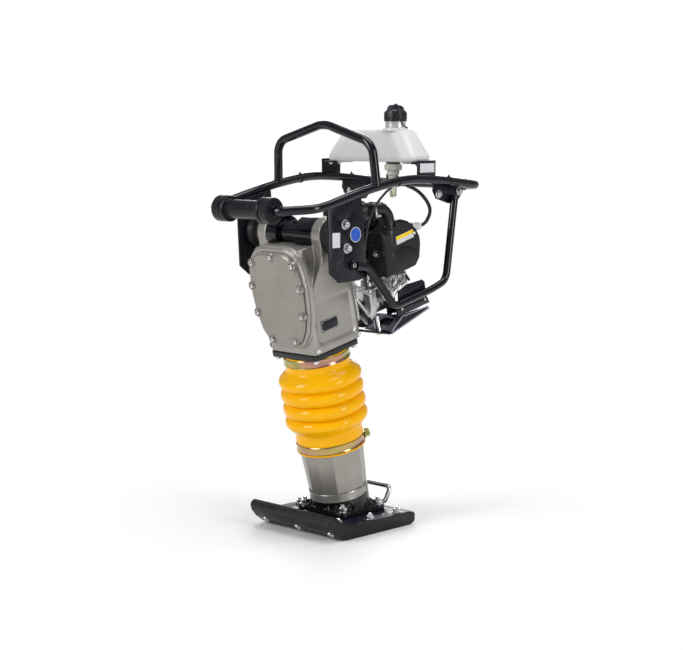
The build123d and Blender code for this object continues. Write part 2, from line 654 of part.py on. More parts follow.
# ---- lower skid ----
def make_skid():
    side = [(188, 494), (190, 518), (298, 520), (308, 495)]
    channel = side_profile(side, SKID_X - 4, SKID_X) + side_profile(side, 74, 78)
    channel += side_profile([(190, 514), (190, 518), (298, 520), (298, 516)], 74, SKID_X)
    front = CASE_REAR + 0.3
    belly = side_profile([(front, 484), (158, 456), (170, 458), (178, 463), (175, 466.5), (168, 462.5), (159, 461),
                          (front, 489.5)], 12, 104)
    bush = rod((70, 155, 461), (70, 155, 505.5), 8)
    on_leg("skid_frame", channel, belly + bush)
    plate = side_profile([(158, 466), (204, 492), (300, 488.5), (300, 484.5), (205, 488), (160, 462.5)], 28, SKID_X)
    slot = rounded_slab(46, SKID_X - 12, 216, 290, 450, 500, 18)
    front_slot = rounded_slab(52, SKID_X - 18, 172, 196, 450, 500, 8)
    plate = plate - slot - front_slot - LEG.inverse() * NODES["skid_frame"]
    on_leg("skid_plate", plate.solids().sort_by(SortBy.VOLUME)[-1])


# ---- handle ----
SIDE_RUN = [(-230.0, 803.3), (-190.0, 809.0), (-40.0, 846.0), (90.0, 864.5), (200.0, 859.0), (REAR_JOIN_Y, 847.5)]


def side_tube_points(side):
    start = [(side * (ROLLER_HALF + reach), ROLLER_Y, ROLLER_Z) for reach in (1.0, 19.0)]
    return start + [(side * BAR_X, y, z) for y, z in SIDE_RUN]


def side_tube_radii():
    return [34, 50] + [None] * (len(SIDE_RUN) - 2)


def bar_solid(side, grow=0.05):
    return bent_rod(side_tube_points(side), BAR_R + grow, side_tube_radii())


def make_handle_tubes():
    for side, name in ((1, "handle_tube_left"), (-1, "handle_tube_right")):
        keep(name, bent_pipe(side_tube_points(side), BAR_R, BAR_R - TUBE_WALL, side_tube_radii()))
    slope = (SIDE_RUN[-1][1] - SIDE_RUN[-2][1]) / (SIDE_RUN[-1][0] - SIDE_RUN[-2][0])
    rear_z = SIDE_RUN[-1][1] + slope * (REAR_Y - REAR_JOIN_Y)
    corners = [(BAR_X, REAR_JOIN_Y + 0.05, SIDE_RUN[-1][1]), (BAR_X, REAR_Y, rear_z), (-BAR_X, REAR_Y, rear_z),
               (-BAR_X, REAR_JOIN_Y + 0.05, SIDE_RUN[-1][1])]
    keep("handle_tube_rear", bent_pipe(corners, BAR_R, BAR_R - TUBE_WALL, [34, 34]))
    axle_end = ROLLER_HALF + 4
    axle = rod((-axle_end, ROLLER_Y, ROLLER_Z), (axle_end, ROLLER_Y, ROLLER_Z), AXLE_R)
    keep("roller_axle", axle)
    return rear_z


def make_roller():
    length = 2 * ROLLER_HALF
    sleeve = rod((-length / 2, ROLLER_Y, ROLLER_Z), (length / 2, ROLLER_Y, ROLLER_Z), SLEEVE_R)
    for side in (-1, 1):
        inner = side * (ROLLER_HALF - DISC_WIDTH)
        disc = rod((inner, ROLLER_Y, ROLLER_Z), (side * ROLLER_HALF, ROLLER_Y, ROLLER_Z), DISC_R)
        sleeve += fillet(disc.edges().filter_by(GeomType.CIRCLE), 3)
        middle = side * (ROLLER_HALF - DISC_WIDTH / 2)
        sleeve -= rod((middle, ROLLER_Y - 40, ROLLER_Z), (middle, ROLLER_Y - 25, ROLLER_Z), 3.4)
    bore = rod((-length, ROLLER_Y, ROLLER_Z), (length, ROLLER_Y, ROLLER_Z), AXLE_R + RUN_FIT)
    keep("roller", sleeve - bore)


def make_carry_loop():
    points = [(169, -22, 850), (161, -30, 951), (0, -30, 997), (-161, -30, 951), (-169, -22, 850)]
    loop = bent_pipe(points, BAR_R, BAR_R - TUBE_WALL, [42, 90, 42])
    loop -= bar_solid(1)
    loop -= bar_solid(-1)
    keep("carry_loop", loop.solids().sort_by(SortBy.VOLUME)[-1])


def side_plate_outline():
    return [(-174, 800), (-166, 650), (-136, 627), (-73, 629), (-41, 636), (-64, 834), (-86, 829), (-148, 815)]


def make_side_plates():
    left = side_profile(side_plate_outline(), PLATE_X - PLATE_THICK, PLATE_X)
    bolts = []
    for y, z in ((-118, 763), (-111, 707)):
        bolts.append(bolt((PLATE_X, y, z), (1, 0, 0), 5, 16, 8, PLATE_THICK))
        left -= rod((PLATE_X - 8, y, z), (PLATE_X + 1, y, z), 5.05)
    left -= bar_solid(1)
    left = left.solids().sort_by(SortBy.VOLUME)[-1]
    keep("side_plates", both_sides(left))
    return bolts


GUARD_ROUTE = [(16, 678), (52, 664), (98, 592), (122, 545), (262, 547), (318, 555), (352, 644), (393, 752)]
GUARD_BENDS = [26, None, 28, None, 34, None]


def guard_points(side):
    placed = [LEG * Pos(side * GUARD_X, y, z) for y, z in GUARD_ROUTE]
    return [tuple(place.position) for place in placed]


def make_guards():
    for side, name in ((1, "guard_tube_left"), (-1, "guard_tube_right")):
        guard = bent_pipe(guard_points(side), GUARD_R, GUARD_R - TUBE_WALL, GUARD_BENDS)
        guard -= bar_solid(side)
        keep(name, guard.solids().sort_by(SortBy.VOLUME)[-1])
    solid_guard = bent_rod(guard_points(1), GUARD_R + 0.05, GUARD_BENDS)
    inner = BAR_X - 14
    gusset = side_profile([(194, 850), (192, 832), (205, 812), (250, 799), (279, 800), (297, 818), (303, 846)],
                          inner, inner + 4)
    screws = [bolt((inner + 4, y, z), (1, 0, 0), 4, 13, 6, 4) for y, z in ((211, 823), (289, 828))]
    for screw in screws:
        gusset -= screw
    gusset = gusset - bar_solid(1) - solid_guard
    gusset = gusset.solids().sort_by(SortBy.VOLUME)[-1]
    bumper = LEG * side_profile([(150, 549), (153, 573), (189, 581), (241, 578), (249, 570), (249, 549)],
                                GUARD_X - 12, GUARD_X - 8)
    bumper -= solid_guard
    bumper = bumper.solids().sort_by(SortBy.VOLUME)[-1]
    keep("guard_brackets", both_sides(gusset), both_sides(bumper))
    return screws


# ---- tank ----
def tank_section(z, half_long, end_half, front, back, corner):
    points = [(half_long, front + 8), (half_long, front + 8 + end_half), (half_long - 34, back),
              (-half_long + 34, back), (-half_long, front + 8 + end_half), (-half_long, front + 8),
              (-half_long + 16, front), (half_long - 16, front)]
    face = make_face(Polyline([(x, y, z) for x, y in points], close=True))
    return fillet(face.vertices(), corner)


def tank_shell(shrink):
    low = TANK_LOW + shrink
    top = TANK_TOP - shrink
    base = tank_section(low, 147 - shrink, 62 - shrink, 120 + shrink, 224 - shrink, 8)
    waist = tank_section(low + 22, 147 - shrink, 62 - shrink, 120 + shrink, 224 - shrink, 8)
    upper = tank_section(top, 101 - shrink, 50 - shrink, 132 + shrink, 208 - shrink, 8)
    return loft([base, waist], ruled=True) + loft([waist, upper], ruled=True)


def make_tank():
    outer = tank_shell(0)
    outer = outer + rod((NECK_X, NECK_Y, TANK_TOP - 4), (NECK_X, NECK_Y, CAP_LOW - 0.3), TANK_NECK_R)
    shell = outer - tank_shell(TANK_WALL)
    shell -= rod((NECK_X, NECK_Y, TANK_TOP - 8), (NECK_X, NECK_Y, CAP_LOW + 2), 21)
    shell -= rod((55, NECK_Y, TANK_LOW - 2), (55, NECK_Y, TANK_LOW + 6), 8)
    keep("fuel_tank", shell)

    cap = rod((NECK_X, NECK_Y, CAP_LOW), (NECK_X, NECK_Y, CAP_LOW + 22), CAP_R)
    cap += rod((NECK_X, NECK_Y, CAP_LOW + 22), (NECK_X, NECK_Y, CAP_TOP - 12), CAP_R - 5)
    cap += slab(NECK_X - 22, NECK_X + 22, NECK_Y - 6, NECK_Y + 6, CAP_LOW + 22, CAP_TOP)
    cap += rod((NECK_X, NECK_Y, CAP_LOW - 12), (NECK_X, NECK_Y, CAP_LOW), 20.5)
    for i in range(20):
        rib = slab(CAP_R - 2, CAP_R + 1.2, -1.6, 1.6, CAP_LOW + 2, CAP_LOW + 19)
        cap += Pos(NECK_X, NECK_Y, 0) * Rot(0, 0, 18 * i) * rib
    keep("tank_cap", cap)

    bracket = side_profile([(127, 868), (191, 868), (191, 907), (127, 907)], 162, 166)
    foot = slab(139, 162, 131, 187, TANK_LOW - 4.2, TANK_LOW - 0.2)
    bracket += foot
    bracket -= bar_solid(1)
    bracket = bracket.solids().sort_by(SortBy.VOLUME)[-1]
    screws = [bolt((150, y, TANK_LOW - 4.2), (0, 0, -1), 2.5, 8, 4, 4) for y in (143, 175)]
    for screw in screws:
        bracket -= screw
    shell = NODES["fuel_tank"]
    for screw in screws:
        shell -= screw
        shell -= mirror(screw, Plane.YZ)
    NODES["fuel_tank"] = shell
    keep("tank_brackets", both_sides(bracket))

    nut = hex_head((55, NECK_Y, 879), (0, 0, 1), 30, 15)
    collar = rod((55, NECK_Y, 894), (55, NECK_Y, TANK_LOW + 8), 7.9)
    bowl = rod((55, NECK_Y, 852), (55, NECK_Y, 879), 12)
    outlet = rod((55, NECK_Y, 864), (74, NECK_Y - 1, 856), 4)
    cup = rod((55, NECK_Y, 813), (55, NECK_Y, 851.8), 9)
    cup = fillet(cup.edges().group_by(Axis.Z)[0], 5)
    keep("petcock", nut + collar + bowl + outlet, cup)
    lever = rod((43, NECK_Y, 868), (38, NECK_Y, 868), 6) + slab(35, 38.5, NECK_Y - 4, NECK_Y + 4, 846, 872)
    keep("fuel_tap_lever", lever - rod((42.6, NECK_Y, 868), (60, NECK_Y, 868), 13))
    return screws


# ---- hoses and cables that stay on the machine ----
FUEL_HOSE_R = 4.5
CABLE_R = 3.0
FUEL_ROUTE = [(79, 157, 854), (99, 158, 845), (101, 197, 832), (101, 234, 804), (101, 249, 777), (101, 226, 744),
              (101, 200, 742)]
CABLE_ROUTE = [(113.5, 336, 838), (138, 326, 841), (150, 286, 847), (150, 205, 856), (150, 120, 859), (152, 62, 853),
               (156, 26, 836), (157, -8, 810), (158, -34, 776), (157, -45, 738), (149, -42, 700), (139, -34, 666),
               (130, -22, 626), (117, 6, 594), (98, 57.4, 602.6)]
THROTTLE_X = 100.0


def make_hoses():
    hose = bent_rod(FUEL_ROUTE, FUEL_HOSE_R)
    keep("fuel_hose", hose)
    spigot = rod((101, 158, 740.5), (101, 199.5, 742), 8)
    cover = NODES["air_box_cover"]
    spigot = spigot - cover - hose
    keep("air_box_cover", cover, spigot.solids().sort_by(SortBy.VOLUME)[-1])
    keep("throttle_cable", bent_rod(CABLE_ROUTE, CABLE_R))


def make_throttle(rear_z):
    """Clamp on the rear crossbar with a lever that swings forward from it."""
    y = REAR_Y - 22
    block = rounded_slab(THROTTLE_X - 12, THROTTLE_X + 12, REAR_Y - 32, REAR_Y + 14, rear_z - 14, rear_z + 14, 5, Axis.X)
    block -= rod((THROTTLE_X - 30, REAR_Y, rear_z), (THROTTLE_X + 30, REAR_Y, rear_z), BAR_R + 0.02)
    block -= slab(THROTTLE_X - 13, THROTTLE_X + 13, y - 12, y + 9, rear_z - 4, rear_z + 4)
    pin = rod((THROTTLE_X, y, rear_z - 16), (THROTTLE_X, y, rear_z + 16), 3)
    block = block + pin
    arm = rounded_slab(THROTTLE_X - 62, THROTTLE_X + 7, y - 6, y + 6, rear_z - 2.5, rear_z + 2.5, 5.5)
    arm -= rod((THROTTLE_X, y, rear_z - 5), (THROTTLE_X, y, rear_z + 5), 3 + RUN_FIT)
    keep("throttle_clamp", block)
    keep("throttle_lever", arm)


def make_nodes():
    feet = make_shoe()
    make_foot(feet)
    make_bail()
    make_leg()
    make_bellows()
    case, pinion_z = make_case()
    flange_bolts = make_guide()
    for piece in flange_bolts:
        case -= piece
    on_leg("gear_case", case)
    make_cover(flange_bolts)
    make_gears(pinion_z)
    make_mounts()
    make_engine(pinion_z)
    make_silencer()
    make_intake()
    make_air_duct()
    make_skid()
    rear_z = make_handle_tubes()
    make_roller()
    make_carry_loop()
    plate_bolts = make_side_plates()
    plate_bolts += make_guards()
    plate_bolts += make_tank()
    keep("frame_bolts", plate_bolts, [mirror(piece, Plane.YZ) for piece in plate_bolts])
    make_throttle(rear_z)
    make_hoses()


make_nodes()
os.makedirs("parts", exist_ok=True)
for node, shape in NODES.items():
    export_step(shape, f"parts/{node}.step")
print(len(NODES), "nodes")
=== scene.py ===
import json
from math import cos, pi, radians, sin
import bmesh
import bpy
from mathutils import Matrix, Vector


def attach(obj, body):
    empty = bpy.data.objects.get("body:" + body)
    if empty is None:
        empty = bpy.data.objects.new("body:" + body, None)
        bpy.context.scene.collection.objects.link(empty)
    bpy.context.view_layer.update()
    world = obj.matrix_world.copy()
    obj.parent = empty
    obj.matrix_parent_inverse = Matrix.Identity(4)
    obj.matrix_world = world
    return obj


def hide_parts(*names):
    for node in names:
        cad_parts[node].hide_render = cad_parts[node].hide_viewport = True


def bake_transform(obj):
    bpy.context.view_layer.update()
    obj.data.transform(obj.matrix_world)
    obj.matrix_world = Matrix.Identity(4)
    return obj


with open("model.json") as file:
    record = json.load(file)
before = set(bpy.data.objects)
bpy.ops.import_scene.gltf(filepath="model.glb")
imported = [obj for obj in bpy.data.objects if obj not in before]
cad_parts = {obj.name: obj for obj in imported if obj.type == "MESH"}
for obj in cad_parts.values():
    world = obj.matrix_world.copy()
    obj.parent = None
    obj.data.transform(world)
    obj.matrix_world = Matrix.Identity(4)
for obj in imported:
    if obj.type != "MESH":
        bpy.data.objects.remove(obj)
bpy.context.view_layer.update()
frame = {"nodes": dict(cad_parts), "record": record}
NODES = frame["nodes"]

# ---- driving values: the leg leans, and the case, engine and leg are drawn in its frame ----
MM = 0.001
LEAN = radians(12.5)
LEG = Matrix.Translation((0, 0.040, 0)) @ Matrix.Rotation(LEAN, 4, "X")
WORLD = Matrix.Identity(4)


def leg_point(x, y, z):
    """Row-frame point of a leg-frame place given in millimetres."""
    return LEG @ (Vector((x, y, z)) * MM)


def add_node(tree, kind, **inputs):
    """New shader node with some of its inputs set. An underscore stands for a space."""
    node = tree.nodes.new("ShaderNode" + kind)
    for name, value in inputs.items():
        node.inputs[name.replace("_", " ")].default_value = value
    return node


# ---- camera, light and floor ----
def make_camera():
    """Long lens that looks slightly down on the machine from its front and near side."""
    target = Vector((0, 0.031, 0.500))
    azimuth = radians(44.62)
    elevation = radians(7.13)
    distance = 4.150
    way = Vector((sin(azimuth) * cos(elevation), -cos(azimuth) * cos(elevation), sin(elevation)))
    data = bpy.data.cameras.new("camera")
    data.lens = 88.17
    data.sensor_width = 36.0
    camera = bpy.data.objects.new("camera", data)
    camera.location = target + way * distance
    camera.rotation_euler = (-way).to_track_quat("-Z", "Y").to_euler()
    bpy.context.scene.collection.objects.link(camera)
    bpy.context.scene.camera = camera


def area_light(name, place, target, size, energy):
    """Rectangular soft box that faces its target."""
    data = bpy.data.lights.new(name, "AREA")
    data.shape = "RECTANGLE"
    data.size, data.size_y = size
    data.energy = energy
    lamp = bpy.data.objects.new(name, data)
    lamp.location = place
    lamp.rotation_euler = (Vector(target) - Vector(place)).to_track_quat("-Z", "Y").to_euler()
    bpy.context.scene.collection.objects.link(lamp)


def make_light():
    """Soft studio light: white where the camera looks past the machine, dimmer in its reflections."""
    world = bpy.data.worlds.new("studio")
    bpy.context.scene.world = world
    world.use_nodes = True
    tree = world.node_tree
    tree.nodes.clear()
    seen = add_node(tree, "Background", Color=(1, 1, 1, 1), Strength=1.0)
    lit = add_node(tree, "Background", Color=(0.93, 0.96, 1.0, 1), Strength=0.30)
    mix = add_node(tree, "MixShader")
    tree.links.new(add_node(tree, "LightPath").outputs["Is Camera Ray"], mix.inputs["Fac"])
    tree.links.new(lit.outputs[0], mix.inputs[1])
    tree.links.new(seen.outputs[0], mix.inputs[2])
    tree.links.new(mix.outputs[0], add_node(tree, "OutputWorld").inputs["Surface"])
    middle = (0, 0, 0.55)
    area_light("key_left", (-0.9, -3.0, 1.9), middle, (1.2, 1.8), 66)
    area_light("fill_right", (3.3, 0.3, 1.3), middle, (0.9, 2.2), 50)
    area_light("top", (0.3, 0.2, 3.2), middle, (2.2, 2.2), 52)
    area_light("rim_back", (-2.2, 2.4, 1.6), middle, (1.4, 1.8), 30)
    bpy.context.scene.view_settings.view_transform = "Standard"


def make_floor():
    """Pale floor that fades into the white background away from the machine."""
    data = bpy.data.meshes.new("floor")
    half = 9.0
    corners = [(-half, -half, 0), (half, -half, 0), (half, half, 0), (-half, half, 0)]
    data.from_pydata(corners, [], [(0, 1, 2, 3)])
    floor = bpy.data.objects.new("floor", data)
    bpy.context.scene.collection.objects.link(floor)
    mat = surface("floor_white", (0.90, 0.90, 0.90), 0.6, mottle=0.01, mottle_scale=3.0)
    tree = mat.node_tree
    reach = add_node(tree, "VectorMath")
    reach.operation = "LENGTH"
    fade = add_node(tree, "MapRange", From_Min=0.25, From_Max=0.80)
    fade.interpolation_type = "SMOOTHSTEP"
    mix = add_node(tree, "MixShader")
    tree.links.new(add_node(tree, "TexCoord").outputs["Object"], reach.inputs[0])
    tree.links.new(reach.outputs["Value"], fade.inputs["Value"])
    tree.links.new(fade.outputs[0], mix.inputs["Fac"])
    tree.links.new(tree.nodes["Principled BSDF"].outputs[0], mix.inputs[1])
    tree.links.new(add_node(tree, "Emission", Strength=1.0).outputs[0], mix.inputs[2])
    tree.links.new(mix.outputs[0], tree.nodes["Material Output"].inputs["Surface"])
    data.materials.append(mat)


# ---- materials ----
def surface(name, color, rough, metallic=0.0, mottle=0.05, mottle_scale=25.0, rough_spread=0.06, bump=0.0,
            bump_scale=900.0, bump_size=0.0004, coat=0.0, coat_rough=0.08, specular=0.5, edge=0.0,
            edge_color=(0.5, 0.5, 0.5), round_edges=0.0, crevice=0.0, subsurface=0.0, transmission=0.0,
            ior=1.45):
    """Painted, cast, moulded or plated surface with its own mottling, grain and worn edges, and with painted
    shade darkening its crevices.
    """
    mat = bpy.data.materials.new(name)
    mat.use_nodes = True
    tree = mat.node_tree
    link = tree.links.new
    shader = tree.nodes["Principled BSDF"]
    place = add_node(tree, "TexCoord").outputs["Object"]

    def noise(scale, detail=4.0):
        node = add_node(tree, "TexNoise", Scale=scale, Detail=detail, Roughness=0.55)
        link(place, node.inputs["Vector"])
        return node.outputs["Fac"]

    def mixed(factor, first, second):
        node = add_node(tree, "Mix")
        node.data_type = "RGBA"
        link(factor, node.inputs["Factor"])
        for socket, value in ((node.inputs[6], first), (node.inputs[7], second)):
            if isinstance(value, tuple):
                socket.default_value = (*value, 1.0)
            else:
                link(value, socket)
        return node.outputs[2]

    def ranged(factor, low, high, out_low, out_high):
        node = add_node(tree, "MapRange", From_Min=low, From_Max=high, To_Min=out_low, To_Max=out_high)
        link(factor, node.inputs["Value"])
        return node.outputs[0]

    dark = tuple(c * (1 - mottle) for c in color)
    light = tuple(min(1.0, c * (1 + mottle)) for c in color)
    paint = mixed(ranged(noise(mottle_scale), 0.3, 0.7, 0.0, 1.0), dark, light)
    # painted shade: ambient occlusion darkens the colour in crevices and corners
    if crevice > 0:
        shade = add_node(tree, "AmbientOcclusion", Distance=0.006)
        shade.samples = 4
        crevice_shade_tone = tuple(c * 0.25 for c in color)
        paint = mixed(ranged(shade.outputs["AO"], 0.25, 0.85, crevice, 0.0), paint, crevice_shade_tone)
    if edge > 0:
        point = add_node(tree, "NewGeometry").outputs["Pointiness"]
        worn = add_node(tree, "Math")
        worn.operation = "MULTIPLY"
        link(ranged(point, 0.53, 0.60, 0.0, edge), worn.inputs[0])
        link(ranged(noise(mottle_scale * 6), 0.35, 0.6, 0.0, 1.0), worn.inputs[1])
        paint = mixed(worn.outputs[0], paint, edge_color)
    link(paint, shader.inputs["Base Color"])
    link(ranged(noise(mottle_scale * 3.3), 0.3, 0.7, max(0.02, rough - rough_spread), rough + rough_spread),
         shader.inputs["Roughness"])
    settings = {"Metallic": metallic, "Specular IOR Level": specular, "Coat Weight": coat,
                "Coat Roughness": coat_rough, "IOR": ior, "Transmission Weight": transmission}
    if subsurface > 0:
        settings |= {"Subsurface Weight": subsurface, "Subsurface Radius": (0.010, 0.007, 0.004),
                     "Subsurface Scale": 1.0}
    for setting, value in settings.items():
        shader.inputs[setting].default_value = value
    normal = None
    if round_edges > 0:
        bevel = add_node(tree, "Bevel", Radius=round_edges)
        bevel.samples = 4
        normal = bevel.outputs["Normal"]
    if bump > 0:
        node = add_node(tree, "Bump", Strength=bump, Distance=bump_size)
        link(noise(bump_scale, 3.0), node.inputs["Height"])
        if normal is not None:
            link(normal, node.inputs["Normal"])
        normal = node.outputs["Normal"]
    if normal is not None:
        link(normal, shader.inputs["Normal"])
    return mat


def iridescent_zinc(name):
    """Yellow passivated zinc: gold that drifts through pink and green."""
    mat = surface(name, (0.70, 0.56, 0.36), 0.20, metallic=1.0, rough_spread=0.04, bump=0.06, bump_scale=500)
    tree = mat.node_tree
    shader = tree.nodes["Principled BSDF"]
    drift = add_node(tree, "TexNoise", Scale=8.0, Detail=2.0, Distortion=0.5)
    tree.links.new(add_node(tree, "TexCoord").outputs["Object"], drift.inputs["Vector"])
    ramp = add_node(tree, "ValToRGB")
    tones = [(0.30, (0.26, 0.15, 0.12)), (0.42, (0.46, 0.28, 0.19)), (0.50, (0.50, 0.38, 0.14)),
             (0.55, (0.30, 0.34, 0.10)), (0.62, (0.52, 0.30, 0.20)), (0.74, (0.30, 0.15, 0.15))]
    ramp.color_ramp.elements.remove(ramp.color_ramp.elements[1])
    first = ramp.color_ramp.elements[0]
    first.position = tones[0][0]
    first.color = (*tones[0][1], 1)
    for position, tone in tones[1:]:
        ramp.color_ramp.elements.new(position).color = (*tone, 1)
    tree.links.new(drift.outputs["Fac"], ramp.inputs["Fac"])
    tree.links.new(ramp.outputs["Color"], shader.inputs["Base Color"])
    return mat


def make_materials():
    """Every procedural material by its name, which is that of its slot or is given where a piece is made."""
    made = {}

    def look(name, *values, **settings):
        made[name] = surface(name, *values, **settings)

    look("sole_black", (0.0055, 0.0052, 0.0060), 0.40, mottle=0.25, mottle_scale=14, bump=0.22,
         bump_scale=1400, specular=0.30, edge=0.25, edge_color=(0.05, 0.05, 0.055), round_edges=0.0015)
    look("deck_steel", (0.012, 0.010, 0.026), 0.26, mottle=0.25, mottle_scale=9, bump=0.15, bump_scale=300,
         specular=0.6, edge=0.35, edge_color=(0.14, 0.14, 0.17))
    look("zinc_steel", (0.66, 0.67, 0.68), 0.20, metallic=1.0, mottle=0.12, mottle_scale=120, bump=0.12,
         bump_scale=1500, round_edges=0.0005, crevice=0.5)
    look("black_cast", (0.0035, 0.0035, 0.0042), 0.22, specular=0.55, mottle=0.2, bump=0.35, bump_scale=420,
         bump_size=0.0006, edge=0.25, edge_color=(0.12, 0.12, 0.12), round_edges=0.0015)
    look("grey_cast", (0.335, 0.318, 0.290), 0.34, metallic=0.62, mottle=0.07, mottle_scale=18, bump=0.22,
         bump_scale=520, bump_size=0.0005, edge=0.25, edge_color=(0.55, 0.54, 0.51), crevice=0.5)
    look("cover_grey", (0.290, 0.264, 0.240), 0.33, metallic=0.70, mottle=0.12, mottle_scale=9, bump=0.16,
         bump_scale=600, edge=0.35, edge_color=(0.58, 0.55, 0.50), crevice=0.5)
    look("bellows_yellow", (0.88, 0.435, 0.0), 0.22, mottle=0.04, mottle_scale=12, rough_spread=0.03,
         bump=0.05, bump_scale=60, bump_size=0.001, coat=0.30, coat_rough=0.03, specular=0.08)
    made["yellow_zinc"] = iridescent_zinc("yellow_zinc")
    look("spring_steel", (0.45, 0.45, 0.46), 0.30, metallic=1.0, mottle=0.1, bump=0.1)
    look("mount_rubber", (0.006, 0.006, 0.0068), 0.42, specular=0.35, mottle=0.2, bump=0.3, bump_scale=700,
         round_edges=0.002)
    look("black_tube", (0.0026, 0.0021, 0.0058), 0.13, mottle=0.15, rough_spread=0.03, bump=0.08,
         bump_scale=260, bump_size=0.0006, coat=0.22, coat_rough=0.05, specular=0.36)
    look("black_plate", (0.0030, 0.0025, 0.0064), 0.26, specular=0.26, mottle=0.15, bump=0.12, bump_scale=400,
         round_edges=0.0008, edge=0.2, edge_color=(0.15, 0.15, 0.17))
    look("bare_alloy", (0.50, 0.50, 0.49), 0.30, metallic=1.0, mottle=0.16, mottle_scale=45, bump=0.34,
         bump_scale=330, bump_size=0.0008, round_edges=0.001, crevice=0.9)
    look("black_plastic", (0.0080, 0.0062, 0.0092), 0.29, specular=0.40, mottle=0.15, bump=0.24,
         bump_scale=1300, bump_size=0.0003, round_edges=0.001)
    look("hose_rubber", (0.006, 0.006, 0.007), 0.34, mottle=0.2, bump=0.2, bump_scale=900)
    look("silencer_steel", (0.030, 0.030, 0.032), 0.45, metallic=0.5, mottle=0.2, bump=0.2, round_edges=0.001)
    look("skid_steel", (0.27, 0.265, 0.33), 0.30, metallic=0.8, mottle=0.08, bump=0.08, round_edges=0.0008)
    look("roller_rubber", (0.0050, 0.0045, 0.0074), 0.32, mottle=0.2, bump=0.26, specular=0.3, bump_scale=1100,
         edge=0.3, edge_color=(0.05, 0.05, 0.06))
    look("tank_plastic", (0.62, 0.622, 0.605), 0.34, mottle=0.03, bump=0.12, bump_scale=900, subsurface=0.12,
         coat=0.12, coat_rough=0.25)
    look("cap_black", (0.005, 0.005, 0.007), 0.28, mottle=0.15, bump=0.2, bump_scale=1200, round_edges=0.0008)
    look("petcock_white", (0.60, 0.59, 0.53), 0.30, mottle=0.06, bump=0.1, subsurface=0.15, round_edges=0.0006,
         crevice=0.4)
    look("label_white", (0.58, 0.58, 0.60), 0.35, mottle=0.03, bump=0.05)
    look("label_yellow", (0.80, 0.58, 0.01), 0.35, mottle=0.02, bump=0.05)
    look("label_blue", (0.01, 0.075, 0.42), 0.35, mottle=0.03, bump=0.05)
    look("neck_grey", (0.50, 0.51, 0.52), 0.30, metallic=0.4, mottle=0.05, bump=0.1)
    look("cap_blue_black", (0.010, 0.011, 0.026), 0.28, mottle=0.15, bump=0.2, bump_scale=1200,
         round_edges=0.0008)
    look("cup_clear", (0.93, 0.95, 0.92), 0.08, mottle=0.01, transmission=0.9, ior=1.45, rough_spread=0.02)
    look("petrol", (0.70, 0.62, 0.30), 0.10, mottle=0.02, transmission=0.5, ior=1.40, rough_spread=0.02)
    return made


# ---- which slot and body each piece belongs to ----
def dress_cad():
    """Every carried-over CAD node takes the procedural material of its slot."""
    for name, obj in NODES.items():
        for place in obj.material_slots:
            place.material = materials[SLOT[name]]


BODY = {node: body for body, nodes in frame["record"]["behaviour"]["bodies"].items() for node in nodes}
SLOT = {part["node"]: part["material_slot"] for part in frame["record"]["subparts"]}


# ---- mesh helpers: every shape is drawn in millimetres in the row frame or the leg frame ----
def publish(name, mesh, slot, body, replaced=(), sharp=32):
    """Gives a finished mesh its material and body, and hides the CAD nodes it stands for."""
    mesh.shade_smooth()
    mesh.set_sharp_from_angle(angle=radians(sharp))
    obj = bpy.data.objects.new(name, mesh)
    bpy.context.scene.collection.objects.link(obj)
    mesh.materials.clear()
    mesh.materials.append(materials[slot])
    if replaced:
        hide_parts(*replaced)
    if body:
        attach(obj, body)
    return obj


def mesh_of(name, bm, place):
    """Mesh in metres and in the row frame from a bmesh in millimetres."""
    bmesh.ops.recalc_face_normals(bm, faces=bm.faces)
    bm.transform(place @ Matrix.Scale(MM, 4))
    mesh = bpy.data.meshes.new(name)
    bm.to_mesh(mesh)
    bm.free()
    return mesh


def shape(name, bm, place, host, slot=None, replaced=(), sharp=32, body=None):
    """Turns a bmesh into a piece that rides with the CAD node host."""
    return publish(name, mesh_of(name, bm, place), slot or SLOT[host], body or BODY[host], replaced, sharp)


def turned(bm, profile, start=(0, 0, 0), way=(0, 0, 1), steps=40, across=0.0, closed=True):
    """Solid of revolution from (height, radius) pairs, hexagonal where a width across flats is given.

    A profile with both ends off the axis makes a ring, unless closed is off."""
    turn = Vector(way).normalized().to_track_quat("Z", "Y").to_matrix()
    rings = []
    for height, r in profile:
        ring = []
        count = steps if r > 0.01 else 1
        for i in range(count):
            angle = 2 * pi * i / steps
            reach = r if count > 1 else 0.0
            if across:
                reach = min(reach, across / 2 / cos((angle + pi / 6) % (pi / 3) - pi / 6))
            place = Vector((reach * cos(angle), reach * sin(angle), height))
            ring.append(bm.verts.new(Vector(start) + turn @ place))
        rings.append(ring)
    pairs = list(zip(rings, rings[1:]))
    if closed and min(profile[0][1], profile[-1][1]) > 0:
        pairs.append((rings[-1], rings[0]))
    for low, high in pairs:
        for i in range(steps):
            j = (i + 1) % steps
            corners = [low[i % len(low)], low[j % len(low)], high[j % len(high)], high[i % len(high)]]
            corners = list(dict.fromkeys(corners))
            if len(corners) > 2:
                bm.faces.new(corners)
    return bm


def lofted(bm, rings):
    """Skin through rings of equal count, closed at both ends."""
    made = [[bm.verts.new(Vector(p)) for p in ring] for ring in rings]
    count = len(rings[0])
    for low, high in zip(made, made[1:]):
        for i in range(count):
            j = (i + 1) % count
            bm.faces.new([low[i], low[j], high[j], high[i]])
    bm.faces.new(made[0][::-1])
    bm.faces.new(made[-1])
    return bm


def block(bm, low, high, bevel=0.0, segments=2, turn=None):
    """Box between two corners with rounded edges, optionally turned about its middle."""
    middle = (Vector(low) + Vector(high)) / 2
    half = (Vector(high) - Vector(low)) / 2
    box = bmesh.new()
    bmesh.ops.create_cube(box, size=2.0)
    box.transform(Matrix.Diagonal((*half, 1)))
    if bevel:
        bmesh.ops.bevel(box, geom=box.edges[:], offset=bevel, segments=segments, affect="EDGES", profile=0.5)
    turn = (turn or Matrix.Identity(3)).to_4x4()
    return joined(bm, box, Matrix.Translation(middle) @ turn)


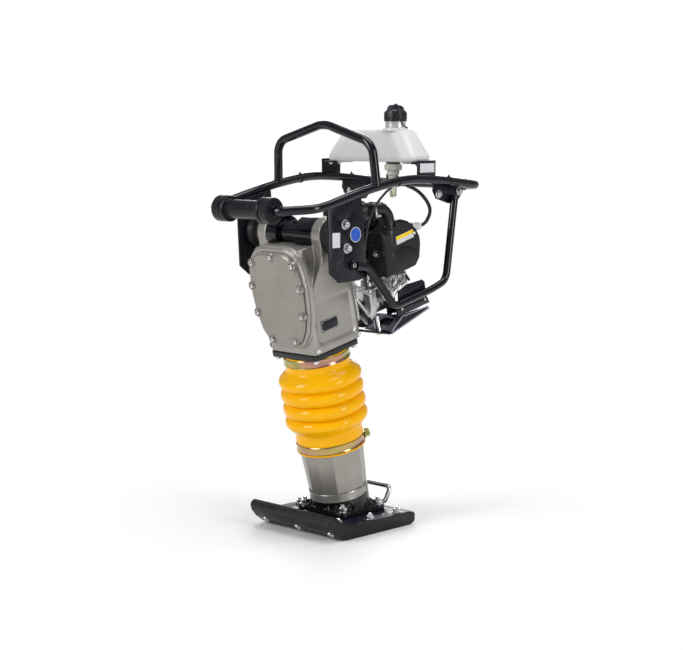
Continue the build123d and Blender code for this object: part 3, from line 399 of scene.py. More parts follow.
def rounded(points, r, steps=6):
    """Closed outline with each corner replaced by an arc-like curve of reach r."""
    result = []
    count = len(points)
    for i, corner in enumerate(points):
        corner = Vector(corner)
        before = Vector(points[i - 1]) - corner
        after = Vector(points[(i + 1) % count]) - corner
        reach = min(r, before.length * 0.48, after.length * 0.48)
        start = corner + before.normalized() * reach
        end = corner + after.normalized() * reach
        for k in range(steps + 1):
            t = k / steps
            result.append(start * (1 - t) ** 2 + corner * 2 * t * (1 - t) + end * t * t)
    return result


def grown(outline, grow):
    """Outline moved outwards along its own normals."""
    count = len(outline)
    area = sum(outline[i - 1].x * outline[i].y - outline[i].x * outline[i - 1].y for i in range(count))
    sign = 1 if area > 0 else -1
    result = []
    for i, point in enumerate(outline):
        along = (outline[(i + 1) % count] - outline[i - 1]).normalized()
        result.append(point + Vector((along.y, -along.x)) * grow * sign)
    return result


def on_front(point, depth):
    """Place of an outline's point on a face that looks along y."""
    return (point.x, depth, point.y)


def on_top(point, height):
    """Place of an outline's point on a level face."""
    return (point.x, point.y, height)


def on_side(x):
    """Lift for an outline drawn in y and z on the face at x."""
    return lambda point, depth: (x + depth, point.x, point.y)


def plate(bm, outline, levels, lift):
    """Stack of the same outline, grown by so much at such a depth. lift makes 3-D points."""
    return lofted(bm, [[lift(p, depth) for p in grown(outline, grow)] for grow, depth in levels])


def swept(bm, outline, stops):
    """Outline drawn in y and z, carried along x and grown by so much at each (x, grow) stop."""
    return lofted(bm, [[(x, p.x, p.y) for p in grown(outline, grow)] for x, grow in stops])


def piped(points, r, resolution=10, sides=10):
    """Round tube along a smooth NURBS line, in millimetres."""
    curve = bpy.data.curves.new("path", "CURVE")
    curve.dimensions = "3D"
    curve.bevel_depth = r * MM
    curve.bevel_resolution = sides
    curve.resolution_u = resolution
    curve.use_fill_caps = True
    spline = curve.splines.new("NURBS")
    spline.points.add(len(points) - 1)
    for knot, point in zip(spline.points, points):
        knot.co = (*(Vector(point) * MM), 1.0)
    spline.order_u = 3
    spline.use_endpoint_u = True
    temp = bpy.data.objects.new("path", curve)
    mesh = bpy.data.meshes.new_from_object(temp)
    bpy.data.objects.remove(temp)
    bm = bmesh.new()
    bm.from_mesh(mesh)
    bm.transform(Matrix.Scale(1 / MM, 4))
    bpy.data.meshes.remove(mesh)
    return bm


def joined(bm, other, matrix=None):
    """Adds the geometry of other to bm."""
    mesh = bpy.data.meshes.new("temp")
    if matrix is not None:
        other.transform(matrix)
    other.to_mesh(mesh)
    other.free()
    bm.from_mesh(mesh)
    bpy.data.meshes.remove(mesh)
    return bm


def cad_copy(node):
    """Mesh of a CAD node, with its flat faces made whole again."""
    bm = bmesh.new()
    bm.from_mesh(NODES[node].data)
    bmesh.ops.remove_doubles(bm, verts=bm.verts, dist=1e-5)
    bmesh.ops.dissolve_limit(bm, angle_limit=radians(1.0), verts=bm.verts, edges=bm.edges)
    return bm


def refined(node, bevel=0.0, segments=2, voxel=0.0, relax=4, angle=30, extra=None, place=LEG):
    """Stands for a CAD node with its edges broken, or re-skinned as a casting with soft fillets."""
    name = node + "_finish"
    mesh = bpy.data.meshes.new(name)
    bm = cad_copy(node)
    if extra:
        bmesh.ops.recalc_face_normals(extra, faces=extra.faces)
        joined(bm, extra, place @ Matrix.Scale(MM, 4))
    bm.to_mesh(mesh)
    bm.free()
    temp = bpy.data.objects.new(name + "_temp", mesh)
    bpy.context.scene.collection.objects.link(temp)
    if voxel:
        skin = temp.modifiers.new("skin", "REMESH")
        skin.mode = "VOXEL"
        skin.voxel_size = voxel * MM
        soft = temp.modifiers.new("soft", "SMOOTH")
        soft.iterations = relax
        soft.factor = 0.6
    else:
        edge = temp.modifiers.new("edge", "BEVEL")
        edge.width = bevel * MM
        edge.segments = segments
        edge.limit_method = "ANGLE"
        edge.angle_limit = radians(angle)
    bpy.context.view_layer.update()
    done = bpy.data.meshes.new_from_object(temp.evaluated_get(bpy.context.evaluated_depsgraph_get()))
    bpy.data.objects.remove(temp)
    return publish(name, done, SLOT[node], BODY[node], (node,), 80 if voxel else 32)


# ---- fasteners ----
WASHER = 1.6


def washer(bm, seat, way, r):
    """Flat washer with its edges broken."""
    profile = [(0, 0), (0, r - 0.3), (0.3, r), (WASHER - 0.3, r), (WASHER, r - 0.3), (WASHER, 0)]
    turned(bm, profile, seat, way, 32)


def hexagon(bm, seat, way, across, height):
    """Hexagon head or nut with its corners turned off."""
    corner = across * 0.577
    profile = [(0, 0), (0, corner * 0.93), (height * 0.12, corner), (height * 0.80, corner),
               (height, across * 0.47), (height, 0)]
    turned(bm, profile, seat, way, 48, across)


def stud(bm, seat, way, r, length):
    """Threaded end: ridges cut round the shank."""
    profile = [(0, 0), (0, r)]
    pitch = r * 0.30
    height = pitch * 0.5
    while height < length - pitch:
        profile += [(height, r), (height + pitch * 0.5, r * 0.88)]
        height += pitch
    profile += [(length - r * 0.2, r * 0.95), (length, r * 0.75), (length, 0)]
    turned(bm, profile, seat, way, 24)


def nut_and_stud(bm, seat, way, across, height, stud_r, proud, washer_r):
    """Nut on a washer, with the end of its stud standing proud."""
    way = Vector(way).normalized()
    seat = Vector(seat)
    washer(bm, seat, way, washer_r)
    hexagon(bm, seat + way * WASHER, way, across, height)
    stud(bm, seat + way * (1.4 + height), way, stud_r, proud)


def hex_bolt(bm, seat, way, across, height, washer_r=0.0):
    """Hexagon head on a washer, with a shallow dish in its top."""
    way = Vector(way).normalized()
    seat = Vector(seat)
    washer(bm, seat, way, washer_r or across * 0.68)
    hexagon(bm, seat + way * WASHER, way, across, height)
    dish = [(0, 0), (0, across * 0.3), (0.35, across * 0.27), (0.35, 0)]
    turned(bm, dish, seat + way * (WASHER + height - 0.05), way, 24)


def cap_screw(bm, seat, way, head_r, height):
    """Cap screw with a knurled rim and a hexagon socket."""
    seat = Vector(seat)
    profile = [(0, 0), (0, head_r), (height - 0.8, head_r), (height, head_r - 0.7), (height, head_r * 0.55)]
    turned(bm, profile, seat, way, 48)
    socket = [(height, head_r * 0.62), (height * 0.35, head_r * 0.62), (height * 0.35, 0)]
    turned(bm, socket, seat, way, 48, head_r * 0.98)


def bead(bm, centre, way, r, thick=1.8):
    """Weld bead: a lumpy ring where one tube meets another."""
    axis = Vector(way).normalized()
    turn = axis.to_track_quat("Z", "Y").to_matrix()
    steps, sides = 44, 8
    rings = []
    for i in range(steps):
        angle = 2 * pi * i / steps
        lump = thick * (1 + 0.22 * sin(angle * 22))
        out = turn @ Vector((cos(angle), sin(angle), 0))
        ring = []
        for k in range(sides):
            a = 2 * pi * k / sides
            ring.append(bm.verts.new(Vector(centre) + out * (r + lump * cos(a)) + axis * lump * 1.1 * sin(a)))
        rings.append(ring)
    for i in range(steps):
        for k in range(sides):
            m = (k + 1) % sides
            bm.faces.new([rings[i - 1][k], rings[i][k], rings[i][m], rings[i - 1][m]])


# ---- shoe and foot ----
DECK_TOP = 34.0


def make_shoe():
    """Shoe with its deck and foot casting, its nuts and bolts, and the wear strips of the toe."""
    refined("shoe_body", 1.8, 3)
    refined("shoe_deck_plate", 0.8)
    ribs = bmesh.new()
    for x in (-66.5, 66.5):
        for y in (-32.0, 93.0):
            turned(ribs, [(34.2, 0), (34.2, 16.5), (46, 16.5), (48.2, 15.5), (48.2, 0)], (x, y, 0), steps=40)
    for side in (-1, 1):
        for y in (4, 54):
            wedge = [(side * 48, 78), (side * 66, 70), (side * 79, 52), (side * 79, 40), (side * 48, 40)]
            lofted(ribs, [[(x, at, z) for x, z in wedge] for at in (y - 4, y + 4)])
        for end, low in ((-44.5, -26), (105.5, 88)):
            wedge = [(low, 76), (end * 0.6 + low * 0.4, 66), (end, 52), (end, 40), (low, 40)]
            lofted(ribs, [[(at, y, z) for y, z in wedge] for at in (side * 26 - 4, side * 26 + 4)])
    refined("foot_casting", voxel=1.6, relax=2, extra=ribs, place=WORLD)
    bm = bmesh.new()
    toe_way = Vector((0, 0.65, 0.76)).normalized()
    for x in (-114.0, 0.0, 114.0):
        seat = Vector((x, -122.0, 14.6))
        dome = [(0.5, 0), (-0.4, 3), (-1.3, 6.5), (-1.9, 8.2), (-1.6, 9.6), (0.6, 10.2), (4, 10.2), (4, 0)]
        turned(bm, dome, seat, toe_way, 32)
        nut_and_stud(bm, seat + toe_way * 32.5, toe_way, 17, 9, 5, 3.0, 11)
    for x in (-124.0, 124.0):
        for y in (4.0, 101.0):
            nut_and_stud(bm, (x, y, DECK_TOP), (0, 0, 1), 17, 9, 5, 4.5, 11)
    for x in (-66.5, 66.5):
        for y in (-32.0, 93.0):
            nut_and_stud(bm, (x, y, DECK_TOP + 14), (0, 0, 1), 19, 11, 6, 6.0, 13)
    shape("shoe_fasteners", bm, WORLD, "shoe_bolts", replaced=("shoe_bolts",))
    bm = bmesh.new()
    side = [(-147.6, 41), (-151.9, 52.5), (-148.4, 59.5), (-146.5, 59), (-149.5, 52.5), (-145.6, 42.5)]
    lofted(bm, [[(x, y, z) for y, z in side] for x in (-137, 137)])
    groove = [(-130.5, 22.2), (-109.5, 5.2), (-108.6, 6.6), (-129.5, 23.6)]
    lofted(bm, [[(x, y, z) for y, z in groove] for x in (-137, 137)])
    shape("toe_wear_strips", bm, WORLD, "shoe_body", sharp=20)


def spring_coil(name, low, high, turns, replaced=()):
    """Compression spring, baked in place and held by no body."""
    count = turns * 12
    points = [(31 * cos(i * pi / 6), 31 * sin(i * pi / 6), low + 5.5 + (high - low - 11) * i / count)
              for i in range(count + 1)]
    mesh = mesh_of(name, piped(points, 5.4, resolution=2, sides=4), LEG)
    coil = publish(name, mesh, "spring_steel", None, replaced, 60)
    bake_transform(coil)


def make_springs():
    """One coil below the piston and one above it."""
    spring_coil("lower_spring", 58.3, 239.6, 7, ("leg_springs",))
    spring_coil("upper_spring", 260.4, 411.6, 6)


def make_leg():
    """Turned step edge and foot seam of the spring cylinder."""
    step = [(100.2, 72.0), (100.2, 73.6), (101.0, 74.0), (102.2, 73.4), (102.6, 71.6)]
    seam = [(82.0, 72.6), (82.0, 73.5), (84.0, 73.9), (85.4, 73.4), (85.4, 72.4)]
    shape("cylinder_step_edge", turned(bmesh.new(), step, steps=96), LEG, "spring_cylinder", "bare_alloy")
    shape("cylinder_foot_seam", turned(bmesh.new(), seam, steps=96), LEG, "spring_cylinder", "grey_cast")


# ---- bellows ----
CRESTS = (284.0, 320.0, 356.0, 391.0)
ROOTS = (302.0, 338.0, 373.5)
CREST_R, ROOT_R, FOOT_R, TOP_R = 103.0, 90.6, 83.6, 79.9


def bellows_radius(z):
    """Outer radius of the bellows at a height on the leg: round crests over tight roots."""
    for end, crest, r in ((258.0, CRESTS[0], FOOT_R), (420.0, CRESTS[-1], TOP_R)):
        if (z - crest) * (end - crest) > 0:
            t = min(1.0, max(0.0, (z - end) / (crest - end)))
            return r + (CREST_R - r) * sin(t * pi / 2) ** 1.35
    for a, root, b in zip(CRESTS, ROOTS, CRESTS[1:]):
        if a <= z <= b:
            t = (z - a) / (root - a) if z < root else (b - z) / (b - root)
            return ROOT_R + (CREST_R - ROOT_R) * (1 - abs(t) ** 2.7)


def make_bellows():
    """Bellows as one closed skin between the leg and the case."""
    outer = [(207.0, 82.0), (207.0, 85.4), (208.5, 86.4), (210.5, 86.0), (211.4, FOOT_R), (233.0, FOOT_R),
             (235.0, 84.4), (240.0, 84.2), (244.0, FOOT_R), (254.0, FOOT_R)]
    folds = [257.0 + 1.5 * i for i in range(110)]
    outer += [(z, bellows_radius(z)) for z in folds] + [(425.0, TOP_R)]
    inner = [(z, r - 3.4) for z, r in outer[10:]][::-1]
    collar = [(455.0, TOP_R), (457.5, 79.2), (457.5, 77.2)]
    bm = turned(bmesh.new(), outer + collar + inner + [(207.0, 80.1)], steps=144)
    mesh = mesh_of("bellows_skin", bm, LEG)
    skin = publish("bellows_skin", mesh, "bellows_yellow", None, ("bellows",), 50)
    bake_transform(skin)


def make_band(name, r, low, turn, node):
    """Clamp band with rolled edges, folded lugs and the bolt that draws them together."""
    bm = bmesh.new()
    edge = [(low, r + 0.1), (low, r + 1.8), (low + 1, r + 2.6), (low + 2.2, r + 2.0), (low + 17.8, r + 2.0),
            (low + 19, r + 2.6), (low + 20, r + 1.8), (low + 20, r + 0.1)]
    turned(bm, edge, steps=120)
    lug = bmesh.new()
    for near, far, inner, outer, bevel in ((5.5, 9, -0.5, 16, 1.2), (4.5, 21, 1.2, 3.6, 0.8)):
        for x0, x1 in ((-far, -near), (near, far)):
            block(lug, (x0, r + inner, low + 2), (x1, r + outer, low + 18), bevel)
    middle = low + 10
    stud(lug, (-20, r + 9, middle), (1, 0, 0), 3, 38)
    for side in (-1, 1):
        hexagon(lug, (9 * side, r + 9, middle), (side, 0, 0), 10, 5)
    joined(bm, lug, Matrix.Rotation(radians(turn), 4, "Z"))
    shape(name, bm, LEG, node, replaced=(node,))


# ---- gear case ----
COVER = [(38, 731), (62, 722), (76, 704), (85, 678), (88, 645), (87, 607), (82, 574), (74, 540), (57, 513),
         (44, 503)]
COVER_OUTLINE = rounded(COVER + [(-x, z) for x, z in reversed(COVER)], 16)
SCREW_PLACES = ((69, 702), (80.5, 645), (76, 578), (40, 513))
COVER_SCREWS = [(0, 720)] + [(side * x, z) for x, z in SCREW_PLACES for side in (-1, 1)]
CASE_SIDE = 79.0  # outer face of the case's sides
# height, inner and outer half width, front and back of the web below each ear
EAR_WEB = [(752, 78, 108, -29, 57), (712, 72, 108, -30, 58), (690, 70, 101, -35, 61), (668, 70, 92, -42, 65),
           (645, 70, 85, -48, 69), (620, 70, 81, -53, 71), (600, 70, 79, -55, 72)]


def make_case():
    """Gear case with its webs, rim, cover, screws and side plugs."""
    webs = bmesh.new()
    for side in (-1, 1):
        lofted(webs, [[(side * x, y, z) for x, y in ((near, front), (far, front + (far - 78) * 0.3),
                                                     (far, back - (far - 78) * 0.3), (near, back))]
                      for z, near, far, front, back in EAR_WEB])
    refined("gear_case", voxel=2.0, relax=9, extra=webs)
    refined("guide_cylinder", 1.4, 3)
    bm = bmesh.new()
    plate(bm, COVER_OUTLINE, [(12.6, -70), (12.6, -79.5), (11.2, -81), (9.4, -81.4)], on_front)
    shape("case_rim_step", bm, LEG, "gear_case", sharp=25)
    bm = bmesh.new()
    plate(bm, COVER_OUTLINE, [(-0.8, -87.9), (-0.8, -88.95), (-3, -88.95)], on_front)
    shape("cover_gasket", bm, LEG, "front_cover", "mount_rubber", sharp=25)
    bm = bmesh.new()
    plate(bm, COVER_OUTLINE, [(0, -88.9), (0, -92.0), (-1.2, -93.3), (-3.2, -93.6), (-4.2, -94.4),
                              (-6.4, -96.4), (-8.4, -97.0), (-9.2, -97.0)], on_front)
    shape("front_cover_finish", bm, LEG, "front_cover", replaced=("front_cover",), sharp=18)
    bosses = bmesh.new()
    screws = bmesh.new()
    for x, z in COVER_SCREWS:
        collar = [(-8, 11.6), (3.4, 11.2), (4.6, 10.2), (4.6, 8.6), (3.9, 8.0), (2.6, 7.9), (2.6, 0)]
        turned(bosses, collar, (x, -94.6, z), (0, -1, 0), 40)
        cap_screw(screws, (x, -97.2, z), (0, -1, 0), 6.0, 3.6)
    shape("cover_bosses", bosses, LEG, "front_cover")
    for x in (-66, 66):
        for y in (-66, 66):
            hex_bolt(screws, (x, y, 459), (0, 0, -1), 13, 7)
    shape("case_screws", screws, LEG, "case_bolts", replaced=("case_bolts",))

    bm = bmesh.new()
    for side in (-1, 1):
        for y, z in ((74, 484), (74, 648), (-66, 484)):
            hex_bolt(bm, (side * CASE_SIDE, y, z), (side, 0, 0), 10, 5)
        collar = [(0, 0), (0, 8), (1, 8.6), (3, 8.6), (3.6, 8), (3.6, 0)]
        turned(bm, collar, (side * CASE_SIDE, -62, 668), (side, 0, 0), 32)
        hexagon(bm, (side * (CASE_SIDE + 3.4), -62, 668), (side, 0, 0), 12, 4)
    shape("case_side_plugs", bm, LEG, "gear_case", "zinc_steel")


def make_type_plate():
    """Blank type plate on the near side of the case, with a raised border and four rivets."""
    bm = block(bmesh.new(), (75.9, -40, 521), (77.0, 18, 549), 0.4)
    shape("type_plate_blank", bm, LEG, "gear_case", "black_plate")
    bm = bmesh.new()
    for z in (522.2, 547.0):
        block(bm, (76.9, -38.6, z), (77.15, 16.6, z + 0.8))
    for y in (-38.6, 15.8):
        block(bm, (76.9, y, 522.2), (77.15, y + 0.8, 547.8))
    for y in (-36, 14):
        for z in (525, 545):
            turned(bm, [(0, 0), (0, 1.4), (0.7, 1.0), (0.9, 0)], (76.9, y, z), (1, 0, 0), 16)
    shape("type_plate_border", bm, LEG, "gear_case", "zinc_steel")


MOUNT_Y, MOUNT_Z = 14.0, 750.0  # middle of the rubber mounts, on the leg


def make_mounts():
    """Cross tube with its plug, and the rubber mounts between the ears and the side plates."""
    refined("cross_tube", 3.5, 4, angle=40)
    bm = bmesh.new()
    steel = bmesh.new()
    for side in (-1, 1):
        profile = [(0.3, 30), (0.3, 41.0), (1.5, 42.0), (8, 42.0), (11, 40.4), (15, 38.6), (22, 38.2),
                   (30, 38.6), (34, 40.6), (36.5, 41.6), (40.5, 41.6), (40.5, 30)]
        seat = (side * 108, MOUNT_Y, MOUNT_Z)
        turned(bm, profile, seat, (side, 0, 0), 96)
        outer_disc = [(40.4, 0), (40.4, 40.0), (41.0, 41.2), (43.0, 41.2), (43.6, 40.6), (43.6, 0)]
        turned(steel, outer_disc, seat, (side, 0, 0), 72)
        turned(steel, [(-0.2, 0), (-0.2, 29), (3, 29), (3.8, 28), (3.8, 0)], seat, (side, 0, 0), 48)
    shape("shock_mount_rubber", bm, LEG, "shock_mounts", replaced=("shock_mounts",))
    shape("shock_mount_plates", steel, LEG, "shock_mounts", "black_plate")
    bm = bmesh.new()
    turned(bm, [(0, 0), (0, 7), (2, 7), (2, 0)], (-6, 8, 778), (0, -0.2, 1), 24)
    hexagon(bm, (-6, 8, 780), (0, -0.2, 1), 11, 5)
    shape("cross_tube_plug", bm, LEG, "cross_tube", "black_plate")


# ---- engine ----
PINION_Z = 587.0  # height of the clutch and crankshaft on the leg
ENGINE_SIDE = 72.0  # near face of the block


def make_engine():
    """Clutch housing with its skirt, engine block, cylinder and head, and their bolts."""
    skirt = bmesh.new()
    outline = rounded([(-66, 560), (-62, 502), (-42, 480), (58, 480), (86, 500), (98, 540), (98, 604),
                       (60, 604)], 12)
    plate(skirt, outline, [(-3, 118), (0, 123), (0, 137), (-2, 140.5)], on_front)
    for x0, z0, x1, z1 in ((84, 512, 60, 560), (70, 490, 40, 540), (96, 570, 70, 590)):
        joined(skirt, piped([(x0, 119, z0), ((x0 + x1) / 2, 112, (z0 + z1) / 2), (x1, 104, z1)], 5, sides=4))
    refined("clutch_housing", voxel=1.7, relax=3, extra=skirt)
    refined("engine_block", voxel=1.8, relax=3)
    refined("engine_cylinder", 0.6)
    refined("cylinder_head", 0.8)
    refined("spark_plug", 0.6)
    bolts = bmesh.new()
    for i in range(9):
        angle = radians(20 + 40 * i)
        if sin(angle) > 0.65:
            continue
        seat = Vector((86.5 * cos(angle), 127.2, PINION_Z + 86.5 * sin(angle)))
        hex_bolt(bolts, seat, (0, -1, 0), 10, 6)
    for x, z in ((56, 632), (58, 540), (-50, 632), (-50, 540)):
        hex_bolt(bolts, (x, 226, z), (0, 1, 0), 10, 5)
    for x, y in ((-29, 150), (29, 150), (-29, 198), (29, 198)):
        hex_bolt(bolts, (x, y, 750), (0, 0, 1), 8, 4)
    hexagon(bolts, (ENGINE_SIDE, 152, 532), (1, 0, 0), 17, 9)
    turned(bolts, [(0, 0), (0, 13), (4, 13), (6, 11), (6, 0)], (ENGINE_SIDE, 208, 540), (1, 0, 0), 40)
    hexagon(bolts, (ENGINE_SIDE + 6, 208, 540), (1, 0, 0), 14, 6)
    shape("engine_bolts", bolts, LEG, "engine_block", "zinc_steel")


def make_engine_ribs():
    """Ribs, bosses and ducts cast on the near side of the engine, and the fins round the clutch."""
    ribs = bmesh.new()
    for y in (162, 178, 194):
        block(ribs, (71, y, 524), (75.5, y + 3, 556), 1.0)
    for z in (566, 580, 594, 608, 622):
        block(ribs, (71, 200, z), (74.5, 222, z + 3.2), 1.0)
    for i in range(14):
        angle = radians(-60 + i * 360 / 14)
        if 0.9 < angle < 2.3:
            continue
        turn = Matrix.Rotation(-angle, 3, "Y")
        middle = Vector((78 * cos(angle), 143, PINION_Z + 78 * sin(angle)))
        block(ribs, middle - Vector((11, 9, 1.5)), middle + Vector((11, 6, 1.5)), 1.0, turn=turn)
    hub = (182, 606)
    turned(ribs, [(0, 0), (0, 22), (5, 22), (8, 18), (8, 0)], (ENGINE_SIDE, *hub), (1, 0, 0), 48)
    for y, z, r in ((150, 622, 9), (212, 528, 11), (160, 548, 8), (218, 640, 9)):
        turned(ribs, [(-6, 0), (-6, r), (5, r), (7, r - 2), (7, 0)], (ENGINE_SIDE, y, z), (1, 0, 0), 36)
        middle = (73.5, (y + hub[0]) / 2, (z + hub[1]) / 2)
        joined(ribs, piped([(71, y, z), middle, (ENGINE_SIDE, *hub)], 3.6, sides=4))
    arc_turns = [radians(a) for a in range(-70, 71, 14)]
    arc = [(68.6 * cos(a) + 2, 146.5, PINION_Z + 70 * sin(a)) for a in arc_turns]
    joined(ribs, piped(arc, 3.2, sides=4))
    shape("engine_ribs", ribs, LEG, "engine_block", sharp=30)


def make_cowl():
    """Moulded cowl that leads the fan's air over the cylinder head."""
    bm = bmesh.new()
    plan = rounded([(-60, 148), (60, 148), (60, 224), (-60, 224)], 12)
    plate(bm, plan, [(-2, 751.5), (0, 753), (0, 762), (-3, 768), (-8, 771), (-12, 772)], on_top)
    for side in (-1, 1):
        block(bm, (side * 57 - 3, 158, 712), (side * 57 + 3, 216, 756), 2.0)
    duct = rounded([(6, 196), (70, 196), (70, 256), (6, 256)], 9)
    plate(bm, duct, [(-1, 692), (0, 693), (0, 756), (-2, 761), (-6, 764), (-10, 765)], on_top)
    for y in (206, 216, 226, 236, 246):
        block(bm, (14, y - 1.6, 763), (62, y + 1.6, 768), 1.2)
    shape("engine_cowl", bm, LEG, "fan_shroud", sharp=40)
    bm = bmesh.new()
    for x in (-50, 50):
        hex_bolt(bm, (x, 154, 764), (0, 0, 1), 8, 4)
    for x, y0, y1, z0, z1 in ((70, 206, 240, 738, 750), (60, 166, 208, 722, 746)):
        outline = rounded([(y0, z0), (y1, z0), (y1, z1), (y0, z1)], 2)
        plate(bm, outline, [(0, -1.0), (0, 0.5)], on_side(x))
    shape("cowl_blank_plate", bm, LEG, "fan_shroud", "zinc_steel")


def make_recoil():
    """Fan shroud and recoil starter with its dome, vents, screws, rope guide and grip."""
    refined("fan_shroud", 2.4, 3)
    middle = Vector((0, 262, PINION_Z + 6))
    bm = bmesh.new()
    dome = [(0, 0), (0, 62), (12, 62), (20, 59.5), (25, 54), (27.5, 47), (28, 40), (28, 24), (25.5, 22),
            (25.5, 16), (28.5, 13), (29, 0)]
    turned(bm, dome, middle, (0, 1, 0), 96)
    for i in range(20):
        turn = Matrix.Rotation(-2 * pi * i / 20, 3, "Y")
        at = middle + turn @ Vector((33.5, 28.2, 0))
        block(bm, at - Vector((9.0, 1.4, 1.6)), at + Vector((9.0, 1.4, 1.6)), 0.8, turn=turn)
    turned(bm, [(0, 4.2), (0, 8.6), (28, 8.6), (30, 7.6), (30, 4.8)], (-46, 277, PINION_Z + 52), (0, 0, 1), 32)
    shape("recoil_finish", bm, LEG, "recoil_starter", replaced=("recoil_starter",))
    bm = bmesh.new()
    for i in range(4):
        angle = radians(45 + 90 * i)
        cap_screw(bm, middle + Vector((57 * cos(angle), 17, 57 * sin(angle))), (0, 1, 0), 4.2, 4.5)
    for x, z in ((-66, 620), (66, 620)):
        hex_bolt(bm, (x, 262, z), (0, 1, 0), 8, 4)
    shape("recoil_screws", bm, LEG, "recoil_starter", "zinc_steel")
    bm = bmesh.new()
    low = PINION_Z + 84.4
    block(bm, (-68, 268.5, low), (-24, 285.5, low + 15), 6.0, 4)
    for x in (-62, -56, -36, -30):
        block(bm, (x - 1.2, 267.8, low + 2), (x + 1.2, 286.2, low + 13), 0.8)
    turned(bm, [(0, 0), (0, 3.2), (24, 3.6), (24, 0)], (-46, 277, low - 24), (0, 0, 1), 20)
    shape("starter_grip_finish", bm, LEG, "starter_grip", replaced=("starter_grip",))


def make_silencer():
    """Silencer box on the far side, with its screws and outlet."""
    refined("silencer", 1.0)
    bm = bmesh.new()
    for y in (152, 224):
        cap_screw(bm, (-152, y, 659), (-1, 0, 0), 4.0, 3.0)
    turned(bm, [(0, 7.1), (0, 10.5), (2, 11), (3, 10), (3, 7.1)], (-120, 158, 706), (0, 0, 1), 32)
    shape("silencer_trim", bm, LEG, "silencer", "zinc_steel")


AIR_BOX_SIDE = 135.0  # near face of the air box


def make_intake():
    """Air box with its raised panel, pocketed bolt and blank label."""
    refined("air_box_cover", voxel=1.5, relax=3)
    bm = bmesh.new()
    outline = rounded([(176, 616), (252, 618), (268, 634), (262, 648), (228, 668), (206, 670), (176, 660)], 10)
    plate(bm, outline, [(0, -3), (0, 0.2), (-1.6, 1.3), (-3.2, 1.6)], on_side(AIR_BOX_SIDE))
    crease = rounded([(155, 700), (160, 700), (164, 612), (158, 612)], 2)
    plate(bm, crease, [(0, -3), (0, 0.4), (-0.8, 1.0)], on_side(AIR_BOX_SIDE))
    shape("air_box_panel", bm, LEG, "air_box_cover", sharp=25)
    bm = bmesh.new()
    hex_bolt(bm, (107, 151.5, 665), (0, -1, 0), 11, 6, 8.5)
    turned(bm, [(0, 0), (0, 4), (2, 4), (2.6, 3), (2.6, 0)], (137, 262, 690), (1, 0, 0), 20)
    shape("air_box_bolt", bm, LEG, "air_box_cover", "zinc_steel")
    bm = bmesh.new()
    collar = [(-4, 9.2), (-4, 12.5), (2.2, 12.2), (3.4, 11.2), (3.4, 9.2)]
    turned(bm, collar, (107, 152, 665), (0, -1, 0), 40)
    rim = rounded([(95, 655), (130, 655), (130, 675), (95, 675)], 9.5)
    plate(bm, rim, [(0, 153.5), (0, 150.2), (-0.9, 149.2), (-2.4, 149.4), (-2.4, 151.4)], on_front)
    shape("air_box_pocket", bm, LEG, "air_box_cover")
    bm = bmesh.new()
    label = rounded([(197, 676.5), (260.5, 680), (260.5, 699.5), (197, 697)], 1.5)
    plate(bm, label, [(0, -1.5), (0, 0.55)], on_side(AIR_BOX_SIDE))
    shape("blank_label_white", bm, LEG, "air_box_cover", "label_white")
    bm = bmesh.new()
    band = rounded([(197.4, 687.6), (260.1, 690.6), (260.1, 699.1), (197.4, 696.6)], 0.6)
    plate(bm, band, [(0, 0.3), (0, 0.8)], on_side(AIR_BOX_SIDE))
    shape("blank_label_yellow", bm, LEG, "air_box_cover", "label_yellow")


